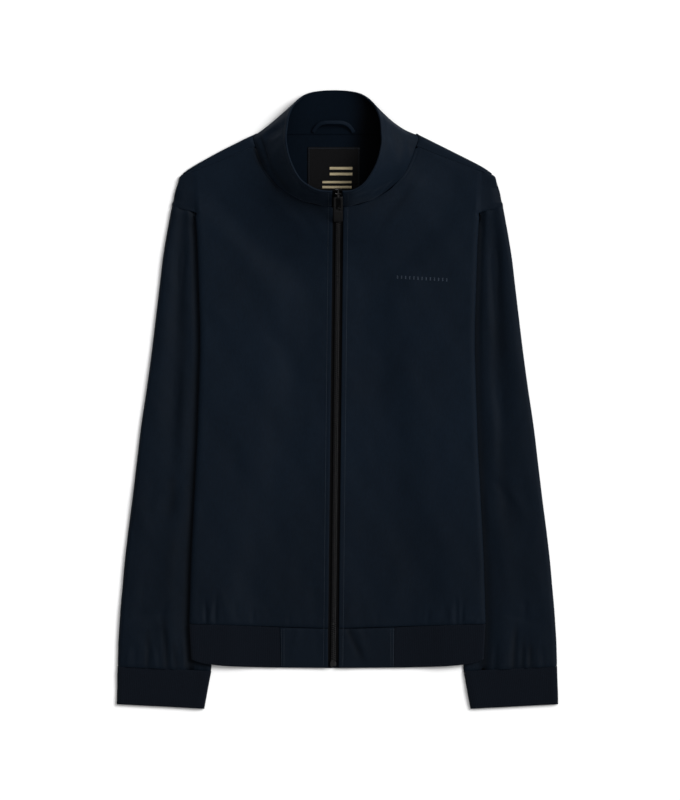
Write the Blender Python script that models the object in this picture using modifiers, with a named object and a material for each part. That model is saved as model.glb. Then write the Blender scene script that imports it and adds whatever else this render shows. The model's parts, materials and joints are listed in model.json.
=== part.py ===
"""Bomber jacket laid flat on its back, front up, as a set of separate cloth walls and zip pieces.

Frame: +X to the wearer's left, +Y towards the collar, +Z up from the surface it lies on.
The tables are in millimetres; half widths are measured from the centre line, and the left and
right halves share them. Everything is scaled to metres when a mesh is made.
"""

import math

import bmesh
import bpy
import numpy as np
from mathutils import Matrix, Vector

MM = 0.001

# Driving dimensions, millimetres
SHELL_WALL = 1.4
CUFF_WALL = 1.7
COLLAR_WALL = 2.2
SEAM_GAP = 0.3
HEM_SEAM_Y = -292.0
HEM_SEAM_DIP = 5.5
HEM_BAND_HEIGHT = 57.2

# Rise of the hem band's bottom edge towards each side fold: height, reach
HEM_BAND_RISES = ((5.5, 60.0), (6.5, 16.0))
HEM_BOTTOM_Y = -342.0
TAB_HALF_WIDTH = 75.0
FRONT_LEVEL = 4.8
SHOULDER_LEVEL = 6.0
TUCKED_SLEEVE_LEVEL = 3.7
BACK_LIFT = 4.0
LIFT_START = 12.0
LIFT_RUN = 9.0
FOLD_ROLL = 7.0
FOOT_CLEARANCE = 1.0
NECK_REACH = 95.0
SHOULDER_REACH = 55.0

# The zip's centre line leans a little towards the wearer's right at the hem
ZIP_TOP_X = 1.0
ZIP_LEAN = -6.5
ZIP_HALF_OPENING = 7.0
ZIP_RIDGE = 1.2
TAPE_WIDTH = 13.0
TAPE_SPLIT = 1.7
TAPE_WALL = 1.0
CHAIN_WIDTH = 6.0
CHAIN_HEIGHT = 2.3

# Side fold of the body: Y, half width
SIDE_FOLD = (
    (-342.0, 190.0),
    (-292.0, 192.5),
    (-209.0, 190.0),
    (-131.0, 186.0),
    (-53.0, 182.0),
    (25.0, 179.5),
    (77.0, 178.0),
    (129.0, 179.5),
    (207.0, 182.0),
    (242.5, 184.5),
    (292.0, 186.5),
)

# Level of the fronts beside the side fold: Y, top Z
SIDE_LEVEL = (
    (-342.0, 9.0),
    (-250.0, 9.3),
    (0.0, 9.6),
    (225.0, 9.4),
    (250.0, 8.8),
    (270.0, 7.6),
    (292.0, 6.4),
    (340.0, 6.2),
)

# Outer edge of sleeve and cuff: Y, half width
SLEEVE_OUTER = (
    (-396.0, 287.0),
    (-346.0, 285.6),
    (-312.0, 284.6),
    (-274.0, 282.1),
    (-196.0, 275.1),
    (-118.0, 265.0),
    (-40.0, 255.9),
    (38.0, 244.3),
    (116.0, 234.8),
    (194.0, 225.6),
    (250.0, 215.4),
)

# Tucked inner edge of sleeve and cuff, under the body: Y, half width
SLEEVE_INNER = (
    (-402.0, 173.0),
    (-353.0, 164.0),
    (-292.0, 161.0),
    (-235.0, 155.0),
    (-157.0, 143.0),
    (-79.0, 130.0),
    (0.0, 116.0),
    (77.0, 103.0),
    (142.0, 97.5),
)
ARMHOLE_CORNER = (185.2, 235.0)
UNDERARM = (97.5, 142.0)
ARMHOLE_AT_FOLD = (186.2, 243.2)

# Sleeve length runs from the armhole to the cuff seam
SLEEVE_TOP_Y = 250.0
CUFF_SEAM_Y = -346.3
CUFF_BOTTOM_Y = -396.0
CUFF_INNER_DROP = 6.4

# Long soft rolls of a sleeve: place across what shows (0 fold, 1 outer edge), height, width
SLEEVE_LEVEL = 5.6
SLEEVE_ROLLS = (
    (0.78, 1.5, 0.20),
    (0.28, 0.8, 0.14),
)

# Troughs between the rolls: place across, top Y, bottom Y, depth, width
SLEEVE_TROUGHS = (
    (0.50, 215.0, -60.0, 1.5, 0.17),
    (0.36, -90.0, -190.0, 1.7, 0.15),
    (0.62, -200.0, -290.0, 0.9, 0.15),
)

# Gathers of a sleeve above its cuff: place across, length up the sleeve, height, half width in mm
CUFF_GATHERS = (
    (0.10, 26.0, 1.0, 5.0),
    (0.22, 34.0, 1.5, 5.0),
    (0.36, 40.0, 1.7, 5.5),
    (0.58, 36.0, 1.6, 6.0),
    (0.76, 24.0, 1.1, 6.0),
)

# Gathers of a front above the hem band: distance in from the side fold, length, height, half width
HEM_GATHERS = (
    (11.5, 15.0, 0.9, 3.2),
    (18.5, 21.0, 1.2, 3.2),
    (25.5, 17.0, 1.0, 3.2),
)

# Soft troughs of a front: half width and Y of each end, depth, half width of the trough
FRONT_TROUGHS = (
    (78.0, 262.0, 36.0, 205.0, 1.6, 13.0),
    (52.0, 243.0, 22.0, 196.0, 1.1, 9.0),
    (88.0, 75.0, 62.0, 38.0, 0.9, 16.0),
    (44.0, 78.0, 62.0, 38.0, 0.8, 14.0),
    (128.0, -60.0, 116.0, -250.0, 0.7, 18.0),
)

# Collar from the centre front to the centre back:
# seam half width, seam Y, seam Z, rim half width, rim Y, rim Z, share of the lean
COLLAR_STATIONS = (
    (7.4, 250.6, 21.0, 6.6, 268.5, 55.0, 0.0),
    (17.0, 250.9, 20.9, 15.5, 268.8, 55.4, 0.2),
    (30.0, 254.2, 20.3, 26.0, 271.2, 55.5, 0.5),
    (46.5, 259.6, 19.0, 40.5, 281.0, 54.5, 0.8),
    (68.0, 271.8, 17.0, 52.0, 297.0, 51.5, 1.0),
    (84.5, 288.2, 15.0, 59.0, 316.0, 47.0, 1.0),
    (96.0, 307.8, 13.0, 61.8, 335.0, 41.0, 1.0),
    (102.2, 324.5, 11.5, 61.5, 352.0, 34.0, 1.0),
    (105.6, 334.5, 9.5, 58.5, 368.5, 26.0, 1.0),
    (106.8, 341.0, 5.0, 52.5, 383.5, 16.5, 1.0),
    (102.0, 344.9, 2.6, 41.5, 394.0, 9.0, 1.0),
    (88.0, 344.8, 0.3, 30.0, 399.0, 5.5, 1.0),
    (50.0, 344.8, 0.1, 15.0, 401.4, 3.4, 1.0),
    (0.0, 344.9, 0.1, 0.0, 402.0, 2.8, 1.0),
)
RIM_LEAN = -4.5
SEAM_LEAN = -2.0
COLLAR_BELLY = 1.8

# Hollow of the collar's silhouette above each shoulder: depth on the wearer's right and left,
# share of it at each station, and the power that sets its place between seam and rim
COLLAR_HOLLOW = (1.6, 5.0)
HOLLOW_SHARES = (0.0, 0.0, 0.0, 0.0, 0.0, 0.0, 0.05, 0.25, 0.6, 1.0, 1.0, 0.6, 0.15, 0.0)
HOLLOW_POWER = 0.8
COLLAR_STEPS_BETWEEN = 2
COLLAR_ROWS = 6

# Fronts above the armhole: outer half width, outer Y, edge Z (None: on the back),
# inner half width (None: at the zip), inner Y
FRONT_TOP_ROWS = (
    (195.5, 245.7, 5.6, None, 246.0),
    (206.0, 248.3, 5.4, None, 248.4),
    (214.0, 250.7, None, 7.2, 250.2),
    (213.0, 259.0, None, 24.0, 252.1),
    (211.0, 270.0, None, 36.0, 255.3),
    (207.5, 281.0, None, 46.0, 258.8),
    (202.5, 291.5, None, 57.0, 264.3),
    (192.5, 295.2, 6.2, 67.6, 271.0),
    (176.0, 301.0, 6.6, 76.0, 278.6),
    (158.0, 307.7, 7.4, 84.1, 287.5),
    (141.0, 314.4, 8.4, 90.6, 297.0),
    (124.0, 321.2, 9.8, 95.9, 307.2),
    (112.5, 325.9, 10.8, 101.0, 320.0),
    (107.2, 328.1, 11.0, 102.4, 325.4),
)

# Back above the armhole: outer half width, Y
BACK_TOP_ROWS = (
    (197.0, 246.6),
    (206.5, 249.0),
    (213.6, 252.0),
    (212.0, 262.0),
    (207.0, 280.0),
    (202.0, 290.5),
)

# Back shoulder, where the wall turns forward: flat end half width, Y, height of turn, length forward
SHOULDER_WRAP = (
    (196.8, 294.8, 3.0, 1.4),
    (190.7, 298.0, 6.2, 4.0),
    (174.0, 306.8, 6.6, 7.2),
    (156.5, 315.6, 7.4, 9.6),
    (139.0, 324.0, 8.4, 11.4),
    (122.0, 331.6, 9.8, 12.8),
    (111.5, 336.6, 10.8, 13.6),
)
SHOULDER_NORMAL = (-0.455, -0.890)
NECK_EDGE = (102.0, 343.7)

# End of the shoulder's turn beside the collar seam, from the back's neck edge on: half width, Y, Z
NECK_CORNER = (
    (103.6, 346.6, 0.5),
    (109.2, 342.8, 4.6),
    (108.4, 334.8, 9.5),
    (106.2, 328.6, 10.7),
)

# Slider and pull
SLIDER_LENGTH = 11.0
SLIDER_WIDTH = 9.6
SLIDER_PLATE = 1.5
SLIDER_GAP = 4.8
SLIDER_FROM_RIM = 7.0
BRIDGE_WIDTH = 2.4
BRIDGE_WALL = 1.1
BRIDGE_INNER_HEIGHT = 3.0
PULL_LENGTH = 42.0
PULL_WIDTH = 12.0
PULL_WALL = 1.9
PULL_SLOT = (6.0, 22.0)
PULL_SLOPE_DEG = 42.7

# Hanger loop and label
LOOP_CENTRE_X = -5.2
LOOP_HALF_SPAN = 26.5
LOOP_DROP = 13.0
LOOP_FOOT_Y = 347.0
LOOP_FOOT_Z = 3.1
LOOP_RISE = 6.6
LOOP_WIDTH = 4.6
LOOP_WALL = 1.1
LABEL_CENTRE = (-4.5, 291.0)
LABEL_SIZE = (68.0, 74.0)
LABEL_WALL = 1.0

COLOURS = {
    "shell": ((0.0075, 0.0105, 0.0175, 1.0), 0.62),
    "rib": ((0.0060, 0.0075, 0.0110, 1.0), 0.85),
    "tape": ((0.0055, 0.0055, 0.0060, 1.0), 0.80),
    "label": ((0.0050, 0.0050, 0.0052, 1.0), 0.75),
    "zip_metal": ((0.0120, 0.0120, 0.0130, 1.0), 0.35),
}


def clear_scene():
    for old in list(bpy.data.objects):
        bpy.data.objects.remove(old, do_unlink=True)


def new_collection(name, hidden=False):
    made = bpy.data.collections.new(name)
    bpy.context.scene.collection.children.link(made)
    made.hide_render = hidden
    return made


def make_materials():
    made = {}
    for name, (colour, roughness) in COLOURS.items():
        material = bpy.data.materials.new(name)
        material.use_nodes = True
        shader = material.node_tree.nodes["Principled BSDF"]
        shader.inputs["Base Color"].default_value = colour
        shader.inputs["Roughness"].default_value = roughness
        shader.inputs["Metallic"].default_value = 0.6 if name == "zip_metal" else 0.0
        made[name] = material
    return made


def table_value(table, key, column=1):
    """Value of a table's column at a key in its first column, straight between rows."""
    keys = [row[0] for row in table]
    values = [row[column] for row in table]
    return float(np.interp(key, keys, values))


def smooth(value):
    t = min(max(value, 0.0), 1.0)
    return t * t * (3.0 - 2.0 * t)


def spline_rows(rows, steps):
    """Rows of numbers with Catmull-Rom rows added between them."""
    rows = np.array(rows, float)
    ends = np.vstack([2 * rows[0] - rows[1], rows, 2 * rows[-1] - rows[-2]])
    made = []
    for i in range(1, len(ends) - 2):
        for step in range(steps):
            t = step / steps
            a, b, c, d = ends[i - 1], ends[i], ends[i + 1], ends[i + 2]
            square = (2 * a - 5 * b + 4 * c - d) * t**2
            cube = (3 * b - a - 3 * c + d) * t**3
            made.append(0.5 * (2 * b + (c - a) * t + square + cube))
    made.append(rows[-1])
    return np.array(made)


def distance_to_line(x, y, line):
    """Distance from a point to a polyline, and the polyline's Z at the nearest place."""
    best = (1e9, 0.0)
    for (ax, ay, az), (bx, by, bz) in zip(line[:-1], line[1:]):
        run = (bx - ax) ** 2 + (by - ay) ** 2
        t = min(max(((x - ax) * (bx - ax) + (y - ay) * (by - ay)) / run, 0.0), 1.0)
        gap = math.hypot(x - ax - t * (bx - ax), y - ay - t * (by - ay))
        if gap < best[0]:
            best = (gap, az + t * (bz - az))
    return best


NECKLINE = [row[0:3] for row in COLLAR_STATIONS[:8]]
SHOULDER_LINE = [(row[0], row[1], row[2]) for row in FRONT_TOP_ROWS[7:]]


def side_fold(y):
    return table_value(SIDE_FOLD, y)


def tucked_edge(y):
    """Half width of the sleeve's tucked inner edge under the body; past the armhole's corner it runs on."""
    if y <= UNDERARM[1]:
        return table_value(SLEEVE_INNER, y)
    slope = (ARMHOLE_CORNER[0] - UNDERARM[0]) / (ARMHOLE_CORNER[1] - UNDERARM[1])
    return UNDERARM[0] + slope * (y - UNDERARM[1])


def back_bottom(half, y):
    """Underside of the back: flat on the surface, lifted where a sleeve is tucked under it."""
    if y > ARMHOLE_AT_FOLD[1] + 0.5:
        return 0.0
    return BACK_LIFT * smooth((half - tucked_edge(y) + LIFT_START) / LIFT_RUN)


def back_top(half, y):
    return back_bottom(half, y) + SHELL_WALL


def zip_x(y):
    return ZIP_TOP_X + ZIP_LEAN * (250.0 - y) / 592.0


def front_top(half, y):
    """Top surface of a front at a half width and Y."""
    rise = smooth((half - tucked_edge(max(y, HEM_SEAM_Y)) + 62.0) / 50.0)
    z = FRONT_LEVEL + (table_value(SIDE_LEVEL, y) - FRONT_LEVEL) * rise
    z += ZIP_RIDGE * math.exp(-(((half - ZIP_HALF_OPENING) / 16.0) ** 2))
    for ax, ay, bx, by, depth, width in FRONT_TROUGHS:
        gap, along = distance_to_line(half, y, [(ax, ay, 0.0), (bx, by, 1.0)])
        z -= depth * math.exp(-((gap / width) ** 2))
    z = max(z, FRONT_LEVEL - 0.9)
    gap, neck = distance_to_line(half, y, NECKLINE)
    z += (neck - z) * (1.0 - smooth(gap / NECK_REACH))
    gap, ridge = distance_to_line(half, y, SHOULDER_LINE)
    z += (ridge - z) * (1.0 - smooth(gap / SHOULDER_REACH)) * smooth((y - 215.0) / 40.0)
    inward = side_fold(y) - half
    for place, length, height, width in HEM_GATHERS:
        up = (y - HEM_SEAM_Y) / length
        if 0.0 <= up < 1.0:
            z += height * (1.0 - up) ** 2 * math.exp(-(((inward - place) / width) ** 2))
    return z


def panel(name, grid, wall, material, home, closed_round=False):
    """A closed wall from a grid of points on its outer side, rows by columns, in millimetres."""
    grid = np.asarray(grid, float)
    rows, columns = grid.shape[:2]
    points = [tuple(p) for p in (grid.reshape(-1, 3) * MM)]
    faces = []
    for i in range(rows - 1):
        for j in range(columns if closed_round else columns - 1):
            k = (j + 1) % columns
            faces.append((i * columns + j, i * columns + k, (i + 1) * columns + k, (i + 1) * columns + j))
    return solidified(name, points, faces, wall, material, home)


def solidified(name, points, faces, wall, material, home):
    mesh = bpy.data.meshes.new(name)
    mesh.from_pydata(points, [], faces)
    mesh.materials.append(material)
    mesh.shade_smooth()
    made = bpy.data.objects.new(name, mesh)
    home.objects.link(made)
    shell = made.modifiers.new("wall", "SOLIDIFY")
    shell.thickness = wall * MM
    shell.offset = -1.0
    shell.use_even_offset = True
    shell.use_quality_normals = True
    return made


def mirrored(grid, side):
    """The grid on one side of the centre line, with its faces kept outward."""
    grid = np.array(grid, float)
    grid[..., 0] *= side
    return grid[:, ::-1] if side > 0 else grid


FRONT_ACROSS = (
    0.021, 0.042, 0.064, 0.085, 0.106, 0.127, 0.19, 0.27, 0.36, 0.46, 0.57, 0.69, 0.81, 0.92, 1.0,
)
FRONT_LOWER_Y = (
    -291.7, -286.0, -280.0, -272.0, -250.0, -210.0, -160.0, -110.0, -60.0, -10.0,
    38.0, 62.0, 95.0, 130.0, 160.0, 182.0, 200.0, 215.0, 227.0, 236.0, 242.6,
)


def front_row(outer, knee, inner, edge_levels):
    """One section of a front: an outer zone of five steps to the knee, then the panel to the inner end."""
    points = []
    for share, level in edge_levels:
        x = outer[0] + (knee[0] - outer[0]) * share
        y = outer[1] + (knee[1] - outer[1]) * share
        points.append((x, y, level))
    for share in FRONT_ACROSS:
        x = knee[0] + (inner[0] - knee[0]) * share
        y = knee[1] + (inner[1] - knee[1]) * share
        points.append((x, y, front_top(x, y)))
    return points


def rolled_edge(level, foot):
    """A quarter turn from the foot on the back up to the front's level."""
    made = []
    for step in range(6):
        turn = math.radians(90.0 * step / 5)
        made.append((1.0 - math.cos(turn), foot + (level - foot) * math.sin(turn)))
    return made


def neck_lean(side, y):
    """How far the shoulder's neck end shifts in half width, because the collar sits off the centre line."""
    return side * SEAM_LEAN * smooth((y - 300.0) / 24.0)


def front_rows(side):
    rows = []
    for y in FRONT_LOWER_Y:
        half = side_fold(y)
        outer = (half, y)
        knee = (half - FOLD_ROLL, y)
        dip = HEM_SEAM_DIP * smooth((-y - 150.0) / 142.0)
        inner = (ZIP_HALF_OPENING + side * zip_x(y), y - dip)
        foot = back_top(half, y) + SEAM_GAP + FOOT_CLEARANCE / 2
        rows.append(front_row(outer, knee, inner, rolled_edge(front_top(*knee), foot)))
    for outer_half, outer_y, edge, inner_half, inner_y in FRONT_TOP_ROWS:
        outer = (outer_half + neck_lean(side, outer_y), outer_y)
        if inner_half is None:
            inner_half = ZIP_HALF_OPENING + side * zip_x(inner_y)
        else:
            inner_half += SEAM_GAP + side * SEAM_LEAN * smooth(inner_half / 60.0)
        inner = (inner_half, inner_y)
        fold = side_fold(outer_y)
        if outer_half > fold + 5.0:
            rows.append(front_row(outer, (fold - 4.0, outer_y), inner, strip_levels(outer, fold, edge)))
        else:
            knee = (outer[0] + (inner[0] - outer[0]) * 0.08, outer[1] + (inner[1] - outer[1]) * 0.08)
            levels = [(k / 5, edge + (front_top(*knee) - edge) * k / 5) for k in range(6)]
            rows.append(front_row(outer, knee, inner, levels))
    return rows


def strip_levels(outer, fold, edge):
    """The dropped shoulder outside the side fold, lower than the front, with its step at the fold."""
    width = outer[0] - fold + 4.0
    foot = SHELL_WALL + SEAM_GAP + FOOT_CLEARANCE if edge is None else edge
    main = front_top(fold - 4.0, outer[1])
    low = min(SHOULDER_LEVEL, main - 0.2)
    near_fold = (outer[0] - fold - 2.5) / width
    at_fold = (outer[0] - fold + 0.5) / width
    shoulder_in = min(1.8 / width, near_fold * 0.4)
    return [
        (0.0, foot),
        (shoulder_in, foot + (low - foot) * 0.8),
        ((shoulder_in + near_fold) / 2, low),
        (near_fold, low - 0.3),
        (at_fold, (low + main) / 2),
        (1.0, main),
    ]


def make_front(name, side, material, home):
    return panel(name, mirrored(front_rows(side), side), SHELL_WALL, material, home)


def back_columns(half, y):
    """Half widths of the back's columns at one Y, from the centre out."""
    ramp_low = min(tucked_edge(y) - LIFT_START, half - LIFT_RUN)
    ramp_high = min(ramp_low + LIFT_RUN, half - 4.0)
    return [
        0.0, ramp_low / 3, ramp_low * 2 / 3, ramp_low,
        (ramp_low + ramp_high) / 2, ramp_high, (ramp_high + half) / 2, half,
    ]


BACK_LOWER_Y = (
    -291.7, -265.0, -235.0, -157.0, -79.0, 0.0, 77.0, 120.0,
    142.0, 165.0, 190.0, 210.0, 225.0, 234.0, 238.5, 243.2,
)


def make_back(material, home):
    """The back as one wall: flat rows, and a forward turn beyond the row ends at each shoulder."""
    rows = []
    for y in BACK_LOWER_Y:
        half = side_fold(y) - 0.2
        rows.append([(x, y, back_bottom(x, y)) for x in back_columns(half, y)])
    for half, y in BACK_TOP_ROWS:
        rows.append([(x, y, 0.0) for x in back_columns(half, y)])
    first_wrap = len(rows)
    for half, y, _, _ in SHOULDER_WRAP:
        rows.append([(x, y, 0.0) for x in back_columns(half, y)])
    rows.append([(x, NECK_EDGE[1], 0.0) for x in back_columns(*NECK_EDGE)])
    half_grid = np.array(rows)
    left = half_grid.copy()
    left[..., 0] *= -1
    full = np.concatenate([left[:, :0:-1], half_grid], axis=1)
    count, columns = full.shape[:2]
    points = [tuple(p) for p in full.reshape(-1, 3)]
    faces = []
    for i in range(count - 1):
        for j in range(columns - 1):
            a = i * columns + j
            faces.append((a, a + columns, a + columns + 1, a + 1))
    for side in (-1, 1):
        edge_column = 0 if side < 0 else columns - 1
        previous = None
        turns = [wrap_points(*row) for row in SHOULDER_WRAP] + [neck_corner_points()]
        for k, turn in enumerate(turns):
            ids = [(first_wrap + k) * columns + edge_column]
            for x, y, z in turn:
                ids.append(len(points))
                points.append((side * (x + neck_lean(side, y) * smooth(z / 3.0)), y, z))
            if previous:
                for a, b, c, d in zip(previous[:-1], previous[1:], ids[1:], ids[:-1]):
                    faces.append((a, b, c, d) if side < 0 else (a, d, c, b))
            previous = ids
    points = [(x * MM, y * MM, z * MM) for x, y, z in points]
    return solidified("back_panel", points, faces, SHELL_WALL, material, home)


def wrap_points(half, y, height, forward):
    """Points of the shoulder's turn, from the flat end round the shoulder line and forward to the seam."""
    radius = height / 2
    nx, ny = SHOULDER_NORMAL
    made = []
    for step in range(1, 6):
        turn = math.radians(180.0 * step / 5)
        out = radius * math.sin(turn)
        made.append((half - nx * out, y - ny * out, radius * (1.0 - math.cos(turn))))
    reach = max(forward - radius, 1.0)
    for share in (0.5, 1.0):
        made.append((half + nx * reach * share, y + ny * reach * share, height))
    return made


def neck_corner_points():
    """The neck corner's points, as many as a section of the shoulder's turn has after its flat end."""
    return [tuple(point) for point in spline_rows(NECK_CORNER, 2)]


def sleeve_height(half, y, outer_half, shown_from):
    """Top of a sleeve: two soft rolls beside a trough where it shows, thin where it is tucked under."""
    if half <= shown_from:
        return TUCKED_SLEEVE_LEVEL
    place = (half - shown_from) / (outer_half - shown_from)
    rolls = SLEEVE_LEVEL
    for where, height, width in SLEEVE_ROLLS:
        rolls += height * math.exp(-(((place - where) / width) ** 2))
    for where, top, bottom, depth, width in SLEEVE_TROUGHS:
        ends = smooth((top - y) / 45.0) * smooth((y - bottom) / 45.0)
        rolls -= depth * ends * math.exp(-(((place - where) / width) ** 2))
    up = y - CUFF_SEAM_Y + CUFF_INNER_DROP * 0.5
    for where, length, height, width in CUFF_GATHERS:
        if -4.0 <= up < length:
            across = (place - where) * (outer_half - shown_from)
            rolls += height * (1.0 - max(up, 0.0) / length) ** 1.5 * math.exp(-((across / width) ** 2))
    return TUCKED_SLEEVE_LEVEL + (rolls - TUCKED_SLEEVE_LEVEL) * smooth((half - shown_from) / 9.0)


def tube_ring(anchors, shares, height_at, flat_sides):
    """Points round a flattened tube: over the top along the anchors, and back underneath."""
    middle = TUCKED_SLEEVE_LEVEL / 2
    start, end = (along_anchors(anchors, share) for share in (0.0, 1.0))
    points = []
    for over, share in [(True, share) for share in shares] + [(False, share) for share in UNDER_SHARES]:
        x, y = along_anchors(anchors, share)
        gap = min(math.hypot(x - start[0], y - start[1]), math.hypot(x - end[0], y - end[1]))
        turn = math.sqrt(max(0.0, 1.0 - (1.0 - min(gap / flat_sides, 1.0)) ** 2))
        z = middle + (height_at(x, y) - middle) * turn if over else middle * (1.0 - turn)
        points.append((x, y, z))
    return points


def along_anchors(anchors, share):
    """Point at a share of the way through a list of (share, x, y) anchors."""
    keys = [a[0] for a in anchors]
    return (
        float(np.interp(share, keys, [a[1] for a in anchors])),
        float(np.interp(share, keys, [a[2] for a in anchors])),
    )


SHOWN_SHARE = 0.72
UNDER_SHARES = (0.993, 0.972, 0.93, 0.78, 0.6, 0.4, 0.2, 0.06, 0.025, 0.006)
TUBE_SHARES = (
    0.0, 0.008, 0.03, 0.075, 0.13, 0.18, 0.24, 0.30, 0.36, 0.42, 0.47, 0.52, 0.57, 0.62, 0.67, 0.72,
    0.78, 0.90, 0.975, 0.993, 1.0,
)
SLEEVE_STEPS = (
    0.0, 0.025, 0.06, 0.11, 0.17, 0.24, 0.32, 0.40, 0.48, 0.56, 0.64, 0.71, 0.77, 0.83,
    0.88, 0.92, 0.945, 0.965, 0.983, 1.0,
)


def sleeve_ring(step):
    """One section of a sleeve, from its outer edge to the tucked inner edge."""
    outer_y = SLEEVE_TOP_Y + (CUFF_SEAM_Y - SLEEVE_TOP_Y) * step
    inner_y = UNDERARM[1] + (CUFF_SEAM_Y - CUFF_INNER_DROP - UNDERARM[1]) * step
    outer_half = table_value(SLEEVE_OUTER, outer_y)
    fold_y = outer_y - 6.8 + 1.9 * step
    fold = side_fold(max(fold_y, HEM_BOTTOM_Y)) + 1.7
    inner_half = table_value(SLEEVE_INNER, inner_y)
    corner = smooth(1.0 - step / 0.06)
    knee_x = fold - 1.0 - (fold - inner_half) * 0.15 * (1.0 - corner)
    knee_y = fold_y - 8.2 * corner - (fold_y - inner_y) * 0.15 * (1.0 - corner)
    anchors = [
        (0.0, outer_half, outer_y),
        (SHOWN_SHARE, fold, fold_y),
        (0.78, knee_x, knee_y),
        (1.0, inner_half, inner_y),
    ]
    return tube_ring(
        anchors, TUBE_SHARES, lambda x, y: sleeve_height(x, y, outer_half, fold - 1.0), 5.0
    )


def make_sleeve(name, side, material, home):
    rings = [sleeve_ring(step) for step in SLEEVE_STEPS]
    grid = np.array(rings)
    grid[..., 0] *= side
    if side < 0:
        grid = grid[:, ::-1]
    return panel(name, grid, SHELL_WALL, material, home, closed_round=True)


CUFF_SHARES = (0.0, 0.01, 0.04, 0.1, 0.25, 0.4, 0.55, 0.7, 0.85, 0.955, 0.988, 1.0)


def make_cuff(name, side, material, home):
    rings = []
    for step in (0.0, 0.06, 0.35, 0.7, 0.94, 1.0):
        outer_y = CUFF_SEAM_Y - SEAM_GAP + (CUFF_BOTTOM_Y - CUFF_SEAM_Y + SEAM_GAP) * step
        inner_y = outer_y - CUFF_INNER_DROP + 0.4 * step
        outer_half = table_value(SLEEVE_OUTER, outer_y)
        inner_half = table_value(SLEEVE_INNER, inner_y)
        anchors = [(0.0, outer_half, outer_y), (1.0, inner_half, inner_y)]
        pinch = 0.5 * (1.0 - smooth(step / 0.06)) + 0.5 * smooth((step - 0.94) / 0.06)

        def height(x, y, pinch=pinch):
            shown = smooth((x - 176.0) / 16.0) if y > -345.0 else 1.0
            return TUCKED_SLEEVE_LEVEL + (1.9 - pinch) * shown

        rings.append(tube_ring(anchors, CUFF_SHARES, height, 5.0))
    grid = np.array(rings)
    grid[..., 0] *= side
    if side < 0:
        grid = grid[:, ::-1]
    return panel(name, grid, CUFF_WALL, material, home, closed_round=True)


def band_top_y(half):
    """The hem band's top seam, lowest at the centre front."""
    return HEM_SEAM_Y - SEAM_GAP - HEM_SEAM_DIP * smooth((side_fold(HEM_SEAM_Y) - half) / 185.0)


def band_bottom_y(half):
    """The hem band's bottom edge, straight but for its rise to each side fold."""
    inward = max(side_fold(HEM_SEAM_Y) - half, 0.0)
    rise = sum(height * math.exp(-inward / reach) for height, reach in HEM_BAND_RISES)
    return HEM_SEAM_Y - HEM_BAND_HEIGHT + rise


BAND_STEPS = (0.0, 0.08, 0.5, 0.92, 1.0)


def band_point(half, z, step, front):
    """A point of the hem band; its back lies straight, its front follows the band's dip."""
    top = band_top_y(half) if front else HEM_SEAM_Y - SEAM_GAP
    bottom = band_bottom_y(half)
    narrowing = (side_fold(HEM_SEAM_Y) - side_fold(HEM_BOTTOM_Y)) * step
    return (half - narrowing * half / side_fold(HEM_SEAM_Y), top + (bottom - top) * step, z)


def make_hem_rib(material, home):
    """Rib band in one piece round the back, from tab to tab."""
    fold = side_fold(HEM_SEAM_Y)
    level = front_top(fold - FOLD_ROLL, HEM_SEAM_Y + 30.0)
    rows = []
    for step in BAND_STEPS:
        half_row = []
        for half in (0.0, 50.0, 100.0, 140.0, 147.0, 152.0, 157.0, 170.0, fold - 4.0):
            half_row.append(band_point(half, back_bottom(half, HEM_SEAM_Y), step, False))
        for turn in range(1, 6):
            angle = math.radians(180.0 * turn / 6 - 90.0)
            middle = (level + BACK_LIFT) / 2
            radius = (level - BACK_LIFT) / 2
            out = fold - 4.0 + 4.0 * math.cos(angle)
            half_row.append(band_point(out, middle + radius * math.sin(angle), step, True))
        for half in (fold - 4.0, fold - 14.0, 160.0, 140.0, 120.0, 100.0, TAB_HALF_WIDTH + 0.2):
            half_row.append(band_point(half, band_level(half), step, True))
        half_row = np.array(half_row)
        left = half_row[:0:-1].copy()
        left[:, 0] *= -1
        rows.append(np.concatenate([left, half_row]))
    return panel("hem_rib", rows, SHELL_WALL, material, home)


def band_level(half):
    """Top of the hem band's front: the front's own level, without its gathers."""
    return front_top(half, HEM_SEAM_Y + 30.0)


def make_hem_tab(name, side, material, home):
    inner = ZIP_HALF_OPENING + side * zip_x(-320.0)
    rows = []
    for step in BAND_STEPS:
        row = []
        for share in (0.0, 0.2, 0.4, 0.6, 0.8, 1.0):
            half = TAB_HALF_WIDTH - 0.2 + (inner - TAB_HALF_WIDTH + 0.2) * share
            row.append(band_point(half, band_level(half), step, True))
        rows.append(row)
    return panel(name, mirrored(np.array(rows)[::-1], side), SHELL_WALL, material, home)


def collar_rows():
    """Collar sections with the lean applied, left half then right half, from seam to rim."""
    table = [row + (share,) for row, share in zip(COLLAR_STATIONS, HOLLOW_SHARES)]
    half = spline_rows(table, COLLAR_STEPS_BETWEEN)
    sections = []
    for side, rows in ((-1, half), (1, half[-2::-1])):
        for seam_x, seam_y, seam_z, rim_x, rim_y, rim_z, lean, share in rows:
            seam = np.array((side * seam_x + SEAM_LEAN * lean, seam_y, max(seam_z, 0.0)))
            rim = np.array((side * rim_x + RIM_LEAN * lean, rim_y, rim_z))
            hollow = max(share, 0.0) * COLLAR_HOLLOW[0 if side < 0 else 1]
            sections.append((seam, rim, hollow * hollow_direction(seam, rim)))
    return sections


def hollow_direction(seam, rim):
    """Level direction square to a collar section, towards the front."""
    run = rim - seam
    across = np.array((run[1], -run[0], 0.0))
    across /= max(np.linalg.norm(across), 1e-6)
    return across if across[1] < 0.0 else -across


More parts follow.
